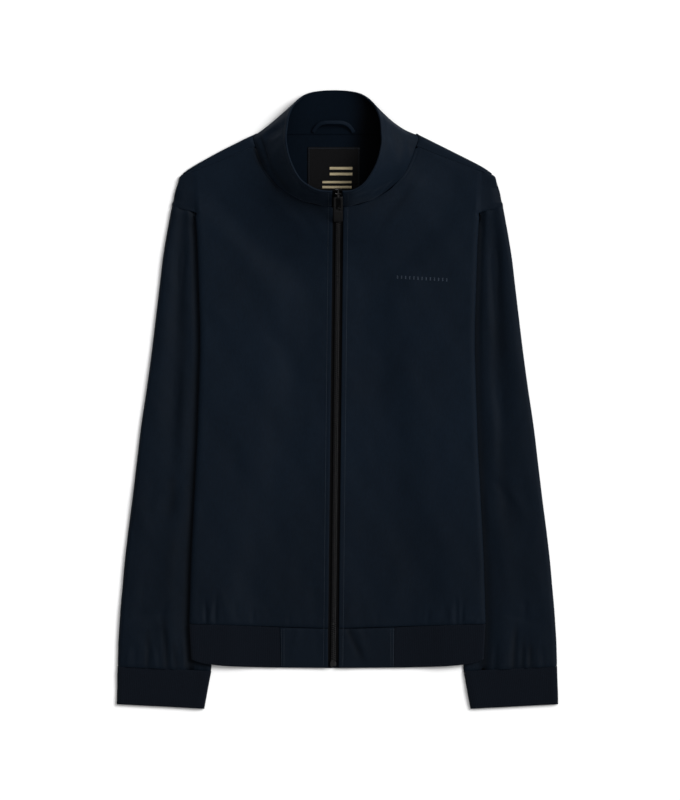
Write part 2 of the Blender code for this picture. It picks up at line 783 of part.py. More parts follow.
def make_collar(material, home):
    grid = []
    for seam, rim, hollow in collar_rows():
        rise = min(max((rim[2] - seam[2]) / 34.0, 0.0), 1.0)
        centre = np.array((-4.0, 335.0, seam[2]))
        out = seam - centre
        out[2] = 0.0
        out /= max(np.linalg.norm(out), 1e-6)
        column = []
        for k in range(COLLAR_ROWS + 1):
            share = k / COLLAR_ROWS
            belly = COLLAR_BELLY * rise * math.sin(math.pi * share)
            dip = math.sin(math.pi * share ** HOLLOW_POWER)
            column.append(seam + (rim - seam) * share + out * belly + hollow * dip)
        grid.append(column)
    return panel("collar", grid, COLLAR_WALL, material, home)


def zip_path():
    """Outer surface along the zip: (Y, Z) from the hem's bottom edge up to the collar's rim."""
    points = []
    for y in (-340.0, -315.0, -290.0) + FRONT_LOWER_Y[4:]:
        points.append((y, zip_level(y)))
    seam, along, outward = collar_front_line()
    length = math.hypot(COLLAR_STATIONS[0][4] - seam[0], COLLAR_STATIONS[0][5] - seam[1])
    settle = COLLAR_WALL - SHELL_WALL
    points.append((seam[0] + 0.4, seam[1] - 2.1))
    for share in (0.08, 0.2, 0.4, 0.6, 0.78, 0.97):
        points.append(tuple(seam + along * length * share - outward * settle))
    return np.array(points)


def zip_level(y):
    """Level of the cloth beside the zip: the lowest of the front over the width of a tape."""
    reach = (ZIP_HALF_OPENING, ZIP_HALF_OPENING + 5.0, ZIP_HALF_OPENING + 11.0)
    return min(front_top(half, max(y, HEM_SEAM_Y + 30.0)) for half in reach)


def collar_front_line():
    """Seam point, direction up the collar and outward direction at the centre front, in (Y, Z)."""
    seam = np.array(COLLAR_STATIONS[0][1:3])
    along = np.array(COLLAR_STATIONS[0][4:6]) - seam
    along /= np.linalg.norm(along)
    return seam, along, np.array((-along[1], along[0]))


def path_normals(path):
    """Normals of the zip's path, lengthened at bends so that layers keep their distance."""
    step = np.diff(path, axis=0)
    step /= np.linalg.norm(step, axis=1)[:, None]
    flat = np.stack([-step[:, 1], step[:, 0]], axis=1)
    before, after = np.vstack([flat[:1], flat]), np.vstack([flat, flat[-1:]])
    middle = before + after
    middle /= np.linalg.norm(middle, axis=1)[:, None]
    return middle / np.sum(middle * before, axis=1)[:, None]


def zip_strip(name, x_from, x_to, depth, wall, material, home, path=None):
    """A ribbon along the zip's path: its outer side lies a depth under the path, its wall goes in."""
    path = zip_path() if path is None else path
    line = path - path_normals(path) * depth
    grid = []
    for y, z in line:
        grid.append([(zip_x(y) + x_from, y, z), (zip_x(y) + x_to, y, z)])
    return panel(name, grid, wall, material, home)


def joined(name, pieces, material, home, cutters):
    """One solid from overlapping pieces, by Boolean union onto the first."""
    base = pieces[0]
    base.name = name
    home.objects.link(base)
    for other in pieces[1:]:
        cutters.objects.link(other)
        other.hide_render = True
        other.display_type = "WIRE"
        join = base.modifiers.new("join", "BOOLEAN")
        join.operation = "UNION"
        join.solver = "EXACT"
        join.object = other
    base.data.materials.append(material)
    return base


def block(name, low, high, bevel=0.0):
    """A box between two corners in millimetres, its edges rounded."""
    mesh = bpy.data.meshes.new(name)
    shape = bmesh.new()
    bmesh.ops.create_cube(shape, size=1.0)
    size = [(b - a) * MM for a, b in zip(low, high)]
    centre = [(a + b) / 2 * MM for a, b in zip(low, high)]
    bmesh.ops.scale(shape, vec=size, verts=shape.verts)
    bmesh.ops.translate(shape, vec=centre, verts=shape.verts)
    if bevel:
        bmesh.ops.bevel(
            shape, geom=list(shape.edges), offset=bevel * MM, segments=1, profile=0.5, affect="EDGES"
        )
    shape.to_mesh(mesh)
    shape.free()
    return bpy.data.objects.new(name, mesh)


def slider_frame():
    """Matrix of the slider: origin on the zip's outer surface, local Y up the zip, local Z outward."""
    _, along, outward = collar_front_line()
    rim = np.array(COLLAR_STATIONS[0][4:6])
    place = rim - along * SLIDER_FROM_RIM - outward * (COLLAR_WALL - SHELL_WALL)
    place = Vector((zip_x(rim[0]), *place))
    frame = Matrix(((1.0, 0.0, 0.0), (0.0, *along), (0.0, *outward))).transposed().to_4x4()
    frame.translation = place * MM
    return frame


PLATE_LOW = 1.3
HINGE_HEIGHT = PLATE_LOW + SLIDER_PLATE + 1.55


def make_slider(material, home, cutters):
    """Slider: a plate over the coil, one under the tapes, a post between them and a bridge on top."""
    wide, long = SLIDER_WIDTH / 2, SLIDER_LENGTH / 2
    under = PLATE_LOW - SLIDER_GAP
    top = PLATE_LOW + SLIDER_PLATE
    arch = top + BRIDGE_INNER_HEIGHT
    post = BRIDGE_WIDTH / 2
    pieces = [
        block("slider_top", (-wide, -long, PLATE_LOW), (wide, long, top), 0.4),
        block("slider_under", (-wide, -long, under - SLIDER_PLATE), (wide, long, under), 0.4),
        block("slider_post", (-1.2, long - 2.6, under - 0.5), (1.2, long - 0.4, PLATE_LOW + 0.5)),
        block("bridge_low_end", (-post, -long + 0.6, top - 0.5), (post, -long + 1.8, arch + 0.4)),
        block("bridge_high_end", (-post, long - 3.4, top - 0.5), (post, long - 2.2, arch + 0.4)),
        block("bridge_bar", (-post, -long + 0.6, arch), (post, long - 2.2, arch + BRIDGE_WALL), 0.25),
    ]
    made = joined("zip_slider", pieces, material, home, cutters)
    frame = slider_frame()
    for piece in pieces:
        piece.matrix_world = frame
    return made


def hinge_point():
    return slider_frame() @ Vector((0.0, -1.0 * MM, HINGE_HEIGHT * MM))


def make_pull(material, home, cutters):
    """Pull: a slotted plate on a cross bar, with its origin on the bar's axis and -Y down the jacket."""
    wide = PULL_WIDTH / 2
    slot = PULL_SLOT[0] / 2
    thin = PULL_WALL / 2
    slot_end = -PULL_SLOT[1]
    end = -PULL_LENGTH
    pieces = [
        block("pull_solid_end", (-wide, end, -thin), (wide, slot_end, thin), 0.45),
        block("pull_arm_right", (-wide, slot_end - 1.0, -thin + 0.1), (-slot, 0.9, thin - 0.1), 0.3),
        block("pull_arm_left", (slot, slot_end - 1.0, -thin + 0.1), (wide, 0.9, thin - 0.1), 0.3),
        block("pull_bar", (-slot - 1.0, -0.8, -0.8), (slot + 1.0, 0.8, 0.8), 0.25),
    ]
    made = joined("pull_tab", pieces, material, home, cutters)
    slope = Matrix.Rotation(math.radians(PULL_SLOPE_DEG), 4, "X")
    frame = Matrix.Translation(hinge_point()) @ slope
    for piece in pieces:
        piece.matrix_world = frame
    return made


def make_zip_box(material, home, cutters):
    """Retainer box at the foot of the zip with the rounded pin end below it."""
    level = band_level(ZIP_HALF_OPENING)
    x = zip_x(-338.0)
    box = block("retainer", (x - 4.0, -346.2, level - 1.6), (x + 4.0, -340.6, level + 1.5), 0.6)
    return joined("zip_box", [box], material, home, cutters)


def make_loop(material, home):
    """Hanger loop: a narrow strap that stands off the collar in a flat-topped arch."""
    path = []
    for step in range(-8, 9):
        t = step / 8
        x = LOOP_CENTRE_X + LOOP_HALF_SPAN * math.copysign(abs(t) ** 0.8, t)
        y = LOOP_FOOT_Y + LOOP_DROP * (1.0 - abs(t) ** 3.2)
        z = LOOP_FOOT_Z + LOOP_RISE * (1.0 - abs(t) ** 2.2) + LOOP_WALL
        path.append((x, y, z))
    path = np.array(path)
    along = np.gradient(path[:, :2], axis=0)
    along /= np.linalg.norm(along, axis=1)[:, None]
    across = np.stack([-along[:, 1], along[:, 0], np.zeros(len(path))], axis=1)
    inner = path - across * LOOP_WIDTH / 2
    outer = path + across * LOOP_WIDTH / 2
    return panel("hanger_loop", np.stack([inner, outer], axis=0), LOOP_WALL, material, home)


def make_label(material, home):
    wide, long = LABEL_SIZE[0] / 2, LABEL_SIZE[1] / 2
    top = SHELL_WALL + SEAM_GAP + LABEL_WALL
    rows = []
    for y in (-long, 0.0, long):
        rows.append([(LABEL_CENTRE[0] + x, LABEL_CENTRE[1] + y, top) for x in (-wide, 0.0, wide)])
    return panel("neck_label", rows, LABEL_WALL, material, home)


def make_zip(materials, home, cutters):
    depth = SHELL_WALL + SEAM_GAP + 0.2
    reach = TAPE_SPLIT + TAPE_WIDTH
    zip_strip("zip_tape_right", -reach, -TAPE_SPLIT, depth, TAPE_WALL, materials["tape"], home)
    zip_strip("zip_tape_left", TAPE_SPLIT, reach, depth, TAPE_WALL, materials["tape"], home)
    above = SEAM_GAP * 1.5 + CHAIN_HEIGHT - depth
    chain_end = zip_path()[:-1]
    half = CHAIN_WIDTH / 2
    zip_strip("zip_chain", -half, half, -above, CHAIN_HEIGHT, materials["tape"], home, chain_end)
    make_slider(materials["zip_metal"], home, cutters)
    make_pull(materials["zip_metal"], home, cutters)
    make_zip_box(materials["zip_metal"], home, cutters)


def main():
    clear_scene()
    home = new_collection("bomber_jacket")
    cutters = new_collection("joined_pieces", hidden=True)
    materials = make_materials()
    shell, rib = materials["shell"], materials["rib"]
    make_back(shell, home)
    for name, side in (("right", -1), ("left", 1)):
        make_front("front_" + name, side, shell, home)
        make_sleeve("sleeve_" + name, side, shell, home)
        make_cuff("cuff_" + name, side, rib, home)
        make_hem_tab("hem_tab_" + name, side, shell, home)
    make_hem_rib(rib, home)
    make_collar(shell, home)
    make_loop(shell, home)
    make_label(materials["label"], home)
    make_zip(materials, home, cutters)


main()
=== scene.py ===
"""Dresses the flat-lying bomber jacket: cloth shells with folds, rib knit, zip, stitching, label and stage.

Frame: +X to the wearer's left, +Y towards the collar, +Z up from the surface the jacket lies on.
Tables are in millimetres; half widths are measured from the centre line. Meshes are in metres.
"""

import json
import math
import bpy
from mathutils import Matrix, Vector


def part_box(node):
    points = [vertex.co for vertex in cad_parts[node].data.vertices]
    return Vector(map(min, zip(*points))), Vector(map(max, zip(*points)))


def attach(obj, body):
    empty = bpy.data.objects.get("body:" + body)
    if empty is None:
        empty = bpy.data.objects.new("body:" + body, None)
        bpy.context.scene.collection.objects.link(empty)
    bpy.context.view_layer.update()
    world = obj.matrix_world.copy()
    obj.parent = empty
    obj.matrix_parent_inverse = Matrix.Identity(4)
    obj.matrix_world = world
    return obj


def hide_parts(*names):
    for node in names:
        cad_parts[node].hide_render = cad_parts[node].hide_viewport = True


bl_info = {
    "name": "Bomber Jacket",
    "version": (1, 0, 0),
    "blender": (4, 5, 0),
    "location": "3D View > Sidebar > Jacket",
    "description": "Cloth shells, rib knit, zip, stitching and stage of a flat-lying bomber jacket",
    "category": "Object",
}

import bmesh
import bpy
import numpy as np
from mathutils import Matrix, Vector
from mathutils.bvhtree import BVHTree

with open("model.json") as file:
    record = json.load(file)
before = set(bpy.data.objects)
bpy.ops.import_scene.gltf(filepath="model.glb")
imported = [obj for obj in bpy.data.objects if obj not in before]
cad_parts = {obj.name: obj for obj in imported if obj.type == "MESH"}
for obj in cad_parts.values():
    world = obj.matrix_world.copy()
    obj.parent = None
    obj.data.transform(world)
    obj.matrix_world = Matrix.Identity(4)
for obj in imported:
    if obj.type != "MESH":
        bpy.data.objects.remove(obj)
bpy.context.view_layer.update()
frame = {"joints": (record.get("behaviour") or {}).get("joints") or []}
MM = 0.001

# ---- sizes of the cut, millimetres ----

SHELL_WALL = 1.4
CUFF_WALL = 1.7
COLLAR_WALL = 2.2
SEAM_GAP = 0.3
HEM_SEAM_Y = -292.0
HEM_SEAM_DIP = 5.5
HEM_BAND_HEIGHT = 57.2
# Rise of the hem band's bottom edge towards each side fold: height, reach
HEM_BAND_RISES = ((5.5, 60.0), (6.5, 16.0))
HEM_BOTTOM_Y = -342.0
TAB_HALF_WIDTH = 75.0
# The hem band lies as high as the fronts do at this Y
BAND_LEVEL_Y = HEM_SEAM_Y + 30.0
# Level of the fronts, the rise towards their sides from inside the sleeve's edge on, and the lowest trough
FRONT_LEVEL = 4.8
SIDE_RISE_INSIDE = 62.0
SIDE_RISE_RUN = 50.0
TROUGH_LIMIT = 0.9
SHOULDER_LEVEL = 6.0
TUCKED_SLEEVE_LEVEL = 3.7
BACK_LIFT = 4.0
LIFT_START = 12.0
LIFT_RUN = 9.0
FOLD_ROLL = 7.0
FOOT_CLEARANCE = 1.0
NECK_REACH = 95.0
NECK_FROM_Y = 300.0
NECK_RUN = 24.0
SHOULDER_REACH = 55.0
SHOULDER_FROM_Y = 215.0
SHOULDER_RUN = 40.0
ZIP_TOP_X = 1.0
ZIP_TOP_Y = 250.0
ZIP_LEAN = -6.5
ZIP_RUN = 592.0
ZIP_HALF_OPENING = 7.0
ZIP_RIDGE = 1.2
ZIP_RIDGE_WIDTH = 16.0
TAPE_WIDTH = 13.0
TAPE_SPLIT = 1.7
TAPE_WALL = 1.0
CHAIN_HEIGHT = 2.3

# Side fold of the body: Y, half width
SIDE_FOLD = (
    (-342, 190), (-292, 192.5), (-209, 190), (-131, 186), (-53, 182), (25, 179.5),
    (77, 178), (129, 179.5), (207, 182), (242.5, 184.5), (292, 186.5),
)
# Level of the fronts beside the side fold: Y, top Z
SIDE_LEVEL = (
    (-342, 9), (-250, 9.3), (0, 9.6), (225, 9.4), (250, 8.8), (270, 7.6),
    (292, 6.4), (340, 6.2),
)
# Outer edge of sleeve and cuff: Y, half width
SLEEVE_OUTER = (
    (-396, 287), (-346, 285.6), (-312, 284.6), (-274, 282.1), (-196, 275.1), (-118, 265),
    (-40, 255.9), (38, 244.3), (116, 234.8), (194, 225.6), (250, 215.4),
)
# Tucked inner edge of sleeve and cuff: Y, half width
SLEEVE_INNER = (
    (-402, 173), (-353, 164), (-292, 161), (-235, 155), (-157, 143), (-79, 130),
    (0, 116), (77, 103), (142, 97.5),
)
ARMHOLE_CORNER = (185.2, 235)
UNDERARM = (97.5, 142)
ARMHOLE_AT_FOLD_Y = 243.2
SLEEVE_TOP_Y = 250.0
ARMHOLE_TOP = (240.0, 8.0)
CUFF_SEAM_Y = -346.3
CUFF_BOTTOM_Y = -396.0
CUFF_INNER_DROP = 6.4
SLEEVE_LEVEL = 5.6
# Long soft rolls of a sleeve: place across what shows (0 fold, 1 outer edge), height, width
SLEEVE_ROLLS = ((0.78, 1.5, 0.20), (0.28, 0.8, 0.14))
# Troughs between the rolls: place across, top Y, bottom Y, depth, width
SLEEVE_TROUGHS = (
    (0.50, 215, -60, 1.5, 0.17),
    (0.36, -90, -190, 1.7, 0.15),
    (0.62, -200, -290, 0.9, 0.15),
)
TROUGH_FADE = 45.0
# Gathers of a sleeve above its cuff: place across, length up the sleeve, height, half width
CUFF_GATHERS = (
    (0.10, 26, 1, 5), (0.22, 34, 1.5, 5), (0.36, 40, 1.7, 5.5), (0.58, 36, 1.6, 6),
    (0.76, 24, 1.1, 6),
)
# Gathers of a front above the hem band: distance in from the side fold, length, height, half width
HEM_GATHERS = ((11.5, 15, 0.9, 3.2), (18.5, 21, 1.2, 3.2), (25.5, 17, 1, 3.2))
# Soft troughs of a front: half width and Y of each end, depth, half width of the trough
FRONT_TROUGHS = (
    (78, 262, 36, 205, 1.6, 13),
    (52, 243, 22, 196, 1.1, 9),
    (88, 75, 62, 38, 0.9, 16),
    (44, 78, 62, 38, 0.8, 14),
    (128, -60, 116, -250, 0.7, 18),
)
# Collar from centre front to centre back:
# seam half width, seam Y, seam Z, rim half width, rim Y, rim Z, share of the lean
COLLAR_STATIONS = (
    (7.4, 250.6, 21, 6.6, 268.5, 55, 0),
    (17, 250.9, 20.9, 15.5, 268.8, 55.4, 0.2),
    (30, 254.2, 20.3, 26, 271.2, 55.5, 0.5),
    (46.5, 259.6, 19, 40.5, 281, 54.5, 0.8),
    (68, 271.8, 17, 52, 297, 51.5, 1),
    (84.5, 288.2, 15, 59, 316, 47, 1),
    (96, 307.8, 13, 61.8, 335, 41, 1),
    (102.2, 324.5, 11.5, 61.5, 352, 34, 1),
    (105.6, 334.5, 9.5, 58.5, 368.5, 26, 1),
    (106.8, 341, 5, 52.5, 383.5, 16.5, 1),
    (102, 344.9, 2.6, 41.5, 394, 9, 1),
    (88, 344.8, 0.3, 30, 399, 5.5, 1),
    (50, 344.8, 0.1, 15, 401.4, 3.4, 1),
    (0, 344.9, 0.1, 0, 402, 2.8, 1),
)
RIM_LEAN = -4.5
SEAM_LEAN = -2.0
COLLAR_BELLY = 1.8
# Hollow of the collar's silhouette above each shoulder: depth on the wearer's right and left,
# share of it at each station, and the power that sets its place between seam and rim
COLLAR_HOLLOW = (1.6, 5)
HOLLOW_SHARES = (0, 0, 0, 0, 0, 0, 0.05, 0.25, 0.6, 1, 1, 0.6, 0.15, 0)
HOLLOW_POWER = 0.8
COLLAR_STEPS_BETWEEN = 2
COLLAR_ROWS = 6
COLLAR_MIDDLE = (-4.0, 335.0)
# Fronts above the armhole: outer half width, outer Y, edge Z (None: on the back),
# inner half width (None: at the zip), inner Y
FRONT_TOP_ROWS = (
    (195.5, 245.7, 5.6, None, 246),
    (206, 248.3, 5.4, None, 248.4),
    (214, 250.7, None, 7.2, 250.2),
    (213, 259, None, 24, 252.1),
    (211, 270, None, 36, 255.3),
    (207.5, 281, None, 46, 258.8),
    (202.5, 291.5, None, 57, 264.3),
    (192.5, 295.2, 6.2, 67.6, 271),
    (176, 301, 6.6, 76, 278.6),
    (158, 307.7, 7.4, 84.1, 287.5),
    (141, 314.4, 8.4, 90.6, 297),
    (124, 321.2, 9.8, 95.9, 307.2),
    (112.5, 325.9, 10.8, 101, 320),
    (107.2, 328.1, 11, 102.4, 325.4),
)
# Sections below the armhole by their Y, and shares across a front from the roll at its fold to the zip
FRONT_LOWER_Y = (
    -291.7, -286, -280, -272, -250, -210, -160, -110, -60, -10, 38, 62, 95,
    130, 160, 182, 200, 215, 227, 236, 242.6,
)
FRONT_ACROSS = (
    0.021, 0.042, 0.064, 0.085, 0.106, 0.127, 0.19, 0.27, 0.36, 0.46, 0.57, 0.69, 0.81, 0.92, 1,
)
BACK_LOWER_Y = (
    -291.7, -265, -235, -157, -79, 0, 77, 120,
    142, 165, 190, 210, 225, 234, 238.5, 243.2,
)
# Back above the armhole: outer half width, Y
BACK_TOP_ROWS = (
    (197, 246.6), (206.5, 249), (213.6, 252), (212, 262), (207, 280), (202, 290.5),
)
# Back shoulder, where the wall turns forward: flat end half width, Y, height of turn, length forward
SHOULDER_WRAP = (
    (200.6, 292.4, 2.4, 1.2), (190.7, 298, 6.2, 4), (174, 306.8, 6.6, 7.2), (156.5, 315.6, 7.4, 9.6),
    (139, 324, 8.4, 11.4), (122, 331.6, 9.8, 12.8), (111.5, 336.6, 10.8, 13.6),
)
SHOULDER_NORMAL = (-0.455, -0.890)
NECK_EDGE = (102, 343.7)
# End of the shoulder's turn beside the collar seam, from the back's neck edge on: half width, Y, Z
NECK_CORNER = ((103.6, 346.6, 0.5), (109.2, 342.8, 4.6), (108.4, 334.8, 9.5), (106.2, 328.6, 10.7))
# How far the back's neck edge reaches under the collar's foot, and a sleeve's head into the armhole
NECK_TUCK = 2.4
CUFF_TUCK = 0.7
HEAD_TUCK = 1.7
# How far the cloth closes the seams' gaps: shoulder seam, collar seam at the shoulder, collar seam, underarm
SHOULDER_CLOSE = 0.7
NECK_CLOSE = 1.6
COLLAR_CLOSE = 0.35
UNDERARM_CLOSE = 1.7
# Flattened tubes: width of their rounded sides, and shares round them: where a sleeve's shown part ends,
# underneath, over a sleeve and over a cuff; then the sections along a sleeve, cuff and hem band
TUBE_SIDE = 5.0
SHOWN_SHARE = 0.72
UNDER_SHARES = (0.993, 0.972, 0.93, 0.78, 0.6, 0.4, 0.2, 0.06, 0.025, 0.006)
TUBE_SHARES = (
    0, 0.008, 0.03, 0.075, 0.13, 0.18, 0.24, 0.30, 0.36, 0.42, 0.47, 0.52, 0.57, 0.62, 0.67, 0.72,
    0.78, 0.90, 0.975, 0.993, 1,
)
CUFF_SHARES = (0, 0.01, 0.04, 0.1, 0.25, 0.4, 0.55, 0.7, 0.85, 0.955, 0.988, 1)
SLEEVE_STEPS = (
    0, 0.025, 0.06, 0.11, 0.17, 0.24, 0.32, 0.40, 0.48, 0.56, 0.64, 0.71, 0.77, 0.83,
    0.88, 0.92, 0.945, 0.965, 0.983, 1,
)
CUFF_STEPS = (0, 0.06, 0.35, 0.7, 0.94, 1)
BAND_STEPS = (0, 0.08, 0.5, 0.92, 1)

# Hanger loop and label
LOOP_CENTRE_X = -5.2
LOOP_HALF_SPAN = 26.5
LOOP_DROP = 13.0
LOOP_FOOT_Y = 347.0
LOOP_FOOT_Z = 3.1
LOOP_RISE = 6.6
LOOP_WIDTH = 4.6
LOOP_WALL = 1.1
LABEL_CENTRE = (-4.5, 291)
LABEL_SIZE = (68, 74)
LABEL_WALL = 1.0
LABEL_TOP = SHELL_WALL + SEAM_GAP + LABEL_WALL
# Plain woven bars of the label: X from and to, Y, height
LABEL_BARS = (
    (-10, 19.5, 300.5, 3.4), (-10, 19.5, 293, 3.4),
    (-19.5, 18.5, 282.5, 3), (-19.5, 18.5, 276, 3),
)

# Slider and pull
SLIDER_LENGTH = 11.0
SLIDER_WIDTH = 9.6
SLIDER_PLATE = 1.5
SLIDER_GAP = 4.8
SLIDER_FROM_RIM = 7.0
PLATE_LOW = 1.3
BRIDGE_WIDTH = 2.4
BRIDGE_HEIGHT = 3.0
PULL_LENGTH = 42.0
PULL_WIDTH = 12.0
PULL_WALL = 1.9
PULL_SLOT = (6, 22)
PULL_SLOPE_DEG = 42.7
# Slider's outline, as shares of its half width and half length, and where its notch lies
SLIDER_OUTLINE = ((0.72, -1), (0.86, -0.3), (1, 0.45), (0.8, 1))
SLIDER_NOTCH = 0.72
# Post between the plates: width, distances of its two ends from the slider's top end
POST = (2.4, 2.8, 1.6)
# Bridge over the slider: middle and half length along the zip, height of its rounded top, thickness,
# and the number of points round its top
BRIDGE_MIDDLE = -0.95
BRIDGE_HALF_RUN = 3.2
BRIDGE_ROUND = 2.2
BRIDGE_WALL = 1.1
BRIDGE_POINTS = 13
# Raised face of the pull below its slot: distance in from the edge, height; and the bar at its hinge
FACE_INSET = 1.6
FACE_END_INSET = 1.8
FACE_RISE = 0.5
BAR_OVERHANG = 2.0
BAR_WALL = 1.6
# Pin end at the retainer: width, how far it stands past the box at foot and top, thickness, place
PIN_WIDTH = 2.6
PIN_PAST = (1.4, 2)
PIN_WALL = 2.2
PIN_PLACE = (-1.9, 0, 0.25)

# ---- folds that only the cloth shells carry ----

# Soft creases: X and Y of each end, height (negative for a trough), half width before and after the line
FRONT_FOLDS = {"right": (
    (-104, 286, -52, 214, 0.45, 8, 14),
    (-108, 326, -93, 296, -1.6, 2.6, 2.4),
    (-94, 298, -66, 266, -1.1, 2.6, 2.4),
    (-172, -262, -170.5, -318, -1.6, 2.4, 2.6),
    (-164, -268, -165, -318, 1.2, 3, 3),
    (-157.5, -256, -158, -318, -1.6, 2.4, 2.6),
    (-110, -272, -111, -314, -0.9, 2.6, 2.6),
    (-62, -278, -63, -312, -0.7, 2.6, 2.6),
    (-86, 268, -30, 196, 0.5, 6, 11),
    (-60, 250, -22, 210, -0.6, 5, 6),
    (-150, 300, -118, 236, -0.3, 11, 17),
    (-176, 232, -120, 190, 0.22, 8, 16),
    (-172, 120, -128, 92, 0.35, 6, 12),
    (-92, 92, -58, 40, -0.6, 9, 16),
    (-46, 96, -64, 44, 0.45, 8, 12),
    (-30, 20, -44, -88, 0.35, 6, 14),
    (-140, -20, -104, -98, 0.45, 10, 18),
    (-110, -150, -122, -268, -0.5, 10, 14),
    (-60, -190, -66, -280, 0.35, 7, 11),
    (-30, -228, -34, -288, -0.3, 5, 7),
    (-150, -246, -142, -289, 0.55, 3.5, 6),
    (-133, -262, -130, -289, -0.4, 3, 4.5),
    (-98, -270, -96, -290, 0.35, 3, 4.5),
), "left": (
    (154, -256, 154.5, -318, -1.6, 2.6, 2.4),
    (163, -264, 162, -318, -1.3, 2.4, 2.4),
    (147, -268, 148, -318, 1, 3, 3),
    (118, -272, 117, -314, -0.9, 2.6, 2.6),
    (52, -278, 51, -312, -0.7, 2.6, 2.6),
    (112, 290, 58, 216, 0.8, 12, 7),
    (92, 276, 42, 204, -0.8, 9, 6),
    (70, 258, 26, 190, 0.55, 8, 5),
    (154, 298, 132, 226, -0.45, 13, 9),
    (176, 226, 126, 176, 0.5, 12, 8),
    (168, 96, 120, 70, -0.35, 11, 7),
    (88, 84, 66, 30, -0.55, 14, 9),
    (40, 66, 60, 24, 0.4, 12, 8),
    (34, -40, 44, -150, 0.35, 13, 7),
    (142, -60, 112, -134, 0.45, 17, 10),
    (122, -168, 132, -274, -0.45, 14, 10),
    (78, -206, 72, -284, 0.4, 10, 7),
    (27, -240, 30, -290, -0.3, 7, 5),
    (158, -250, 152, -289, 0.55, 6, 3.5),
    (140, -264, 137, -289, -0.4, 4.5, 3),
    (104, -268, 106, -290, 0.35, 4.5, 3),
)}
# The same for a sleeve, with half widths in place of X
SLEEVE_FOLDS = {"right": (
    (203, 236, 199, 10, -1.7, 9, 10),
    (204, 50, 214, -120, -1.2, 7, 9),
    (246, -316, 246.5, -374, -1.9, 2.6, 3),
    (238, -322, 237, -374, 1.3, 3.2, 3.2),
    (227, -292, 217, -380, -2.1, 2.8, 3.4),
    (211, -326, 208, -380, -1.6, 2.4, 2.6),
    (201, -310, 199, -376, 1.1, 3.2, 3.2),
    (262, -318, 264, -374, -1.1, 2.8, 2.8),
    (272, -324, 273, -374, 0.9, 3, 3),
    (222, -262, 229, -290, -1, 4, 5),
    (236, -60, 248, -210, -0.7, 10, 9),
    (203, 236, 214, 150, -0.7, 6, 9),
    (192, 190, 208, 60, 0.5, 5, 8),
    (226, 150, 232, 20, 0.45, 7, 5),
    (206, 40, 216, -84, -0.6, 6, 8),
    (244, 8, 226, -52, 0.4, 7, 9),
    (198, -96, 222, -150, -0.9, 6, 8),
    (216, -108, 244, -150, 0.8, 5, 9),
    (262, -130, 236, -196, 0.5, 8, 8),
    (204, -190, 214, -262, -0.5, 6, 7),
    (250, -226, 262, -300, -0.5, 7, 7),
    (214, -276, 268, -284, -0.55, 4, 6),
    (226, -292, 262, -300, 0.4, 4, 6),
), "left": (
    (208, 234, 203, 0, -1.8, 9, 9),
    (204, 40, 216, -126, -1.2, 7, 9),
    (233, -298, 225, -380, -2.1, 2.8, 3.4),
    (241, -318, 238, -376, -1.5, 2.4, 2.8),
    (251, -322, 250, -374, -1.6, 2.6, 3),
    (217, -326, 214, -380, 1.2, 3.2, 3.2),
    (206, -316, 203, -378, -1.4, 2.8, 2.8),
    (266, -320, 267, -374, -1, 3, 3),
    (246, -262, 240, -288, -0.9, 4, 5),
    (240, -70, 250, -220, -0.7, 10, 9),
    (204, 230, 212, 140, -0.65, 6, 9),
    (194, 170, 206, 44, 0.5, 5, 8),
    (228, 120, 236, -6, 0.45, 7, 5),
    (210, 20, 214, -96, -0.7, 6, 8),
    (250, -10, 232, -74, 0.4, 7, 9),
    (204, -104, 226, -142, -0.9, 6, 8),
    (222, -116, 250, -164, 0.7, 5, 9),
    (266, -150, 240, -214, 0.5, 8, 8),
    (208, -204, 216, -270, -0.5, 6, 7),
    (254, -232, 264, -306, -0.45, 7, 7),
    (218, -280, 266, -290, -0.5, 4, 6),
)}
# And for a hem tab and the back, with X again
TAB_FOLDS = {"right": (
    (-52, -296, -58, -340, 0.35, 4, 6),
    (-28, -300, -24, -340, -0.3, 5, 5),
), "left": (
    (13, -292, 32, -342, -0.8, 4.5, 4.5),
    (23, -292, 41, -342, 0.6, 5, 6),
)}
BACK_FOLDS = (
    (-60, 250, -20, 160, 0.4, 10, 14),
    (70, 240, 36, 130, -0.4, 14, 10),
    (-20, 20, 16, -110, 0.3, 12, 12),
    (54, -120, 46, -270, 0.3, 10, 12),
)
# Upright wrinkles of a dropped shoulder: distance outside the side fold, height, half width
SHOULDER_WRINKLES = ((6, 0.5, 2.2), (11.5, -0.5, 2.4), (17.5, 0.45, 2.6), (23, -0.3, 2.2))
# Collar waves: place round from the wearer's right front edge (0) to the left (1), half width, height, lean
COLLAR_WAVES = (
    (0.085, 0.020, 0.5, 0.02),
    (0.165, 0.026, -0.7, -0.03),
    (0.215, 0.018, 0.8, 0.03),
    (0.262, 0.014, -0.6, 0.03),
    (0.300, 0.012, 0.7, -0.02),
    (0.345, 0.020, -0.4, 0.02),
    (0.640, 0.018, -0.5, -0.02),
    (0.700, 0.014, 0.6, 0.03),
    (0.742, 0.014, -0.6, 0.02),
    (0.800, 0.022, 0.6, -0.03),
    (0.870, 0.026, -0.5, 0.02),
    (0.925, 0.018, 0.4, 0.02),
)
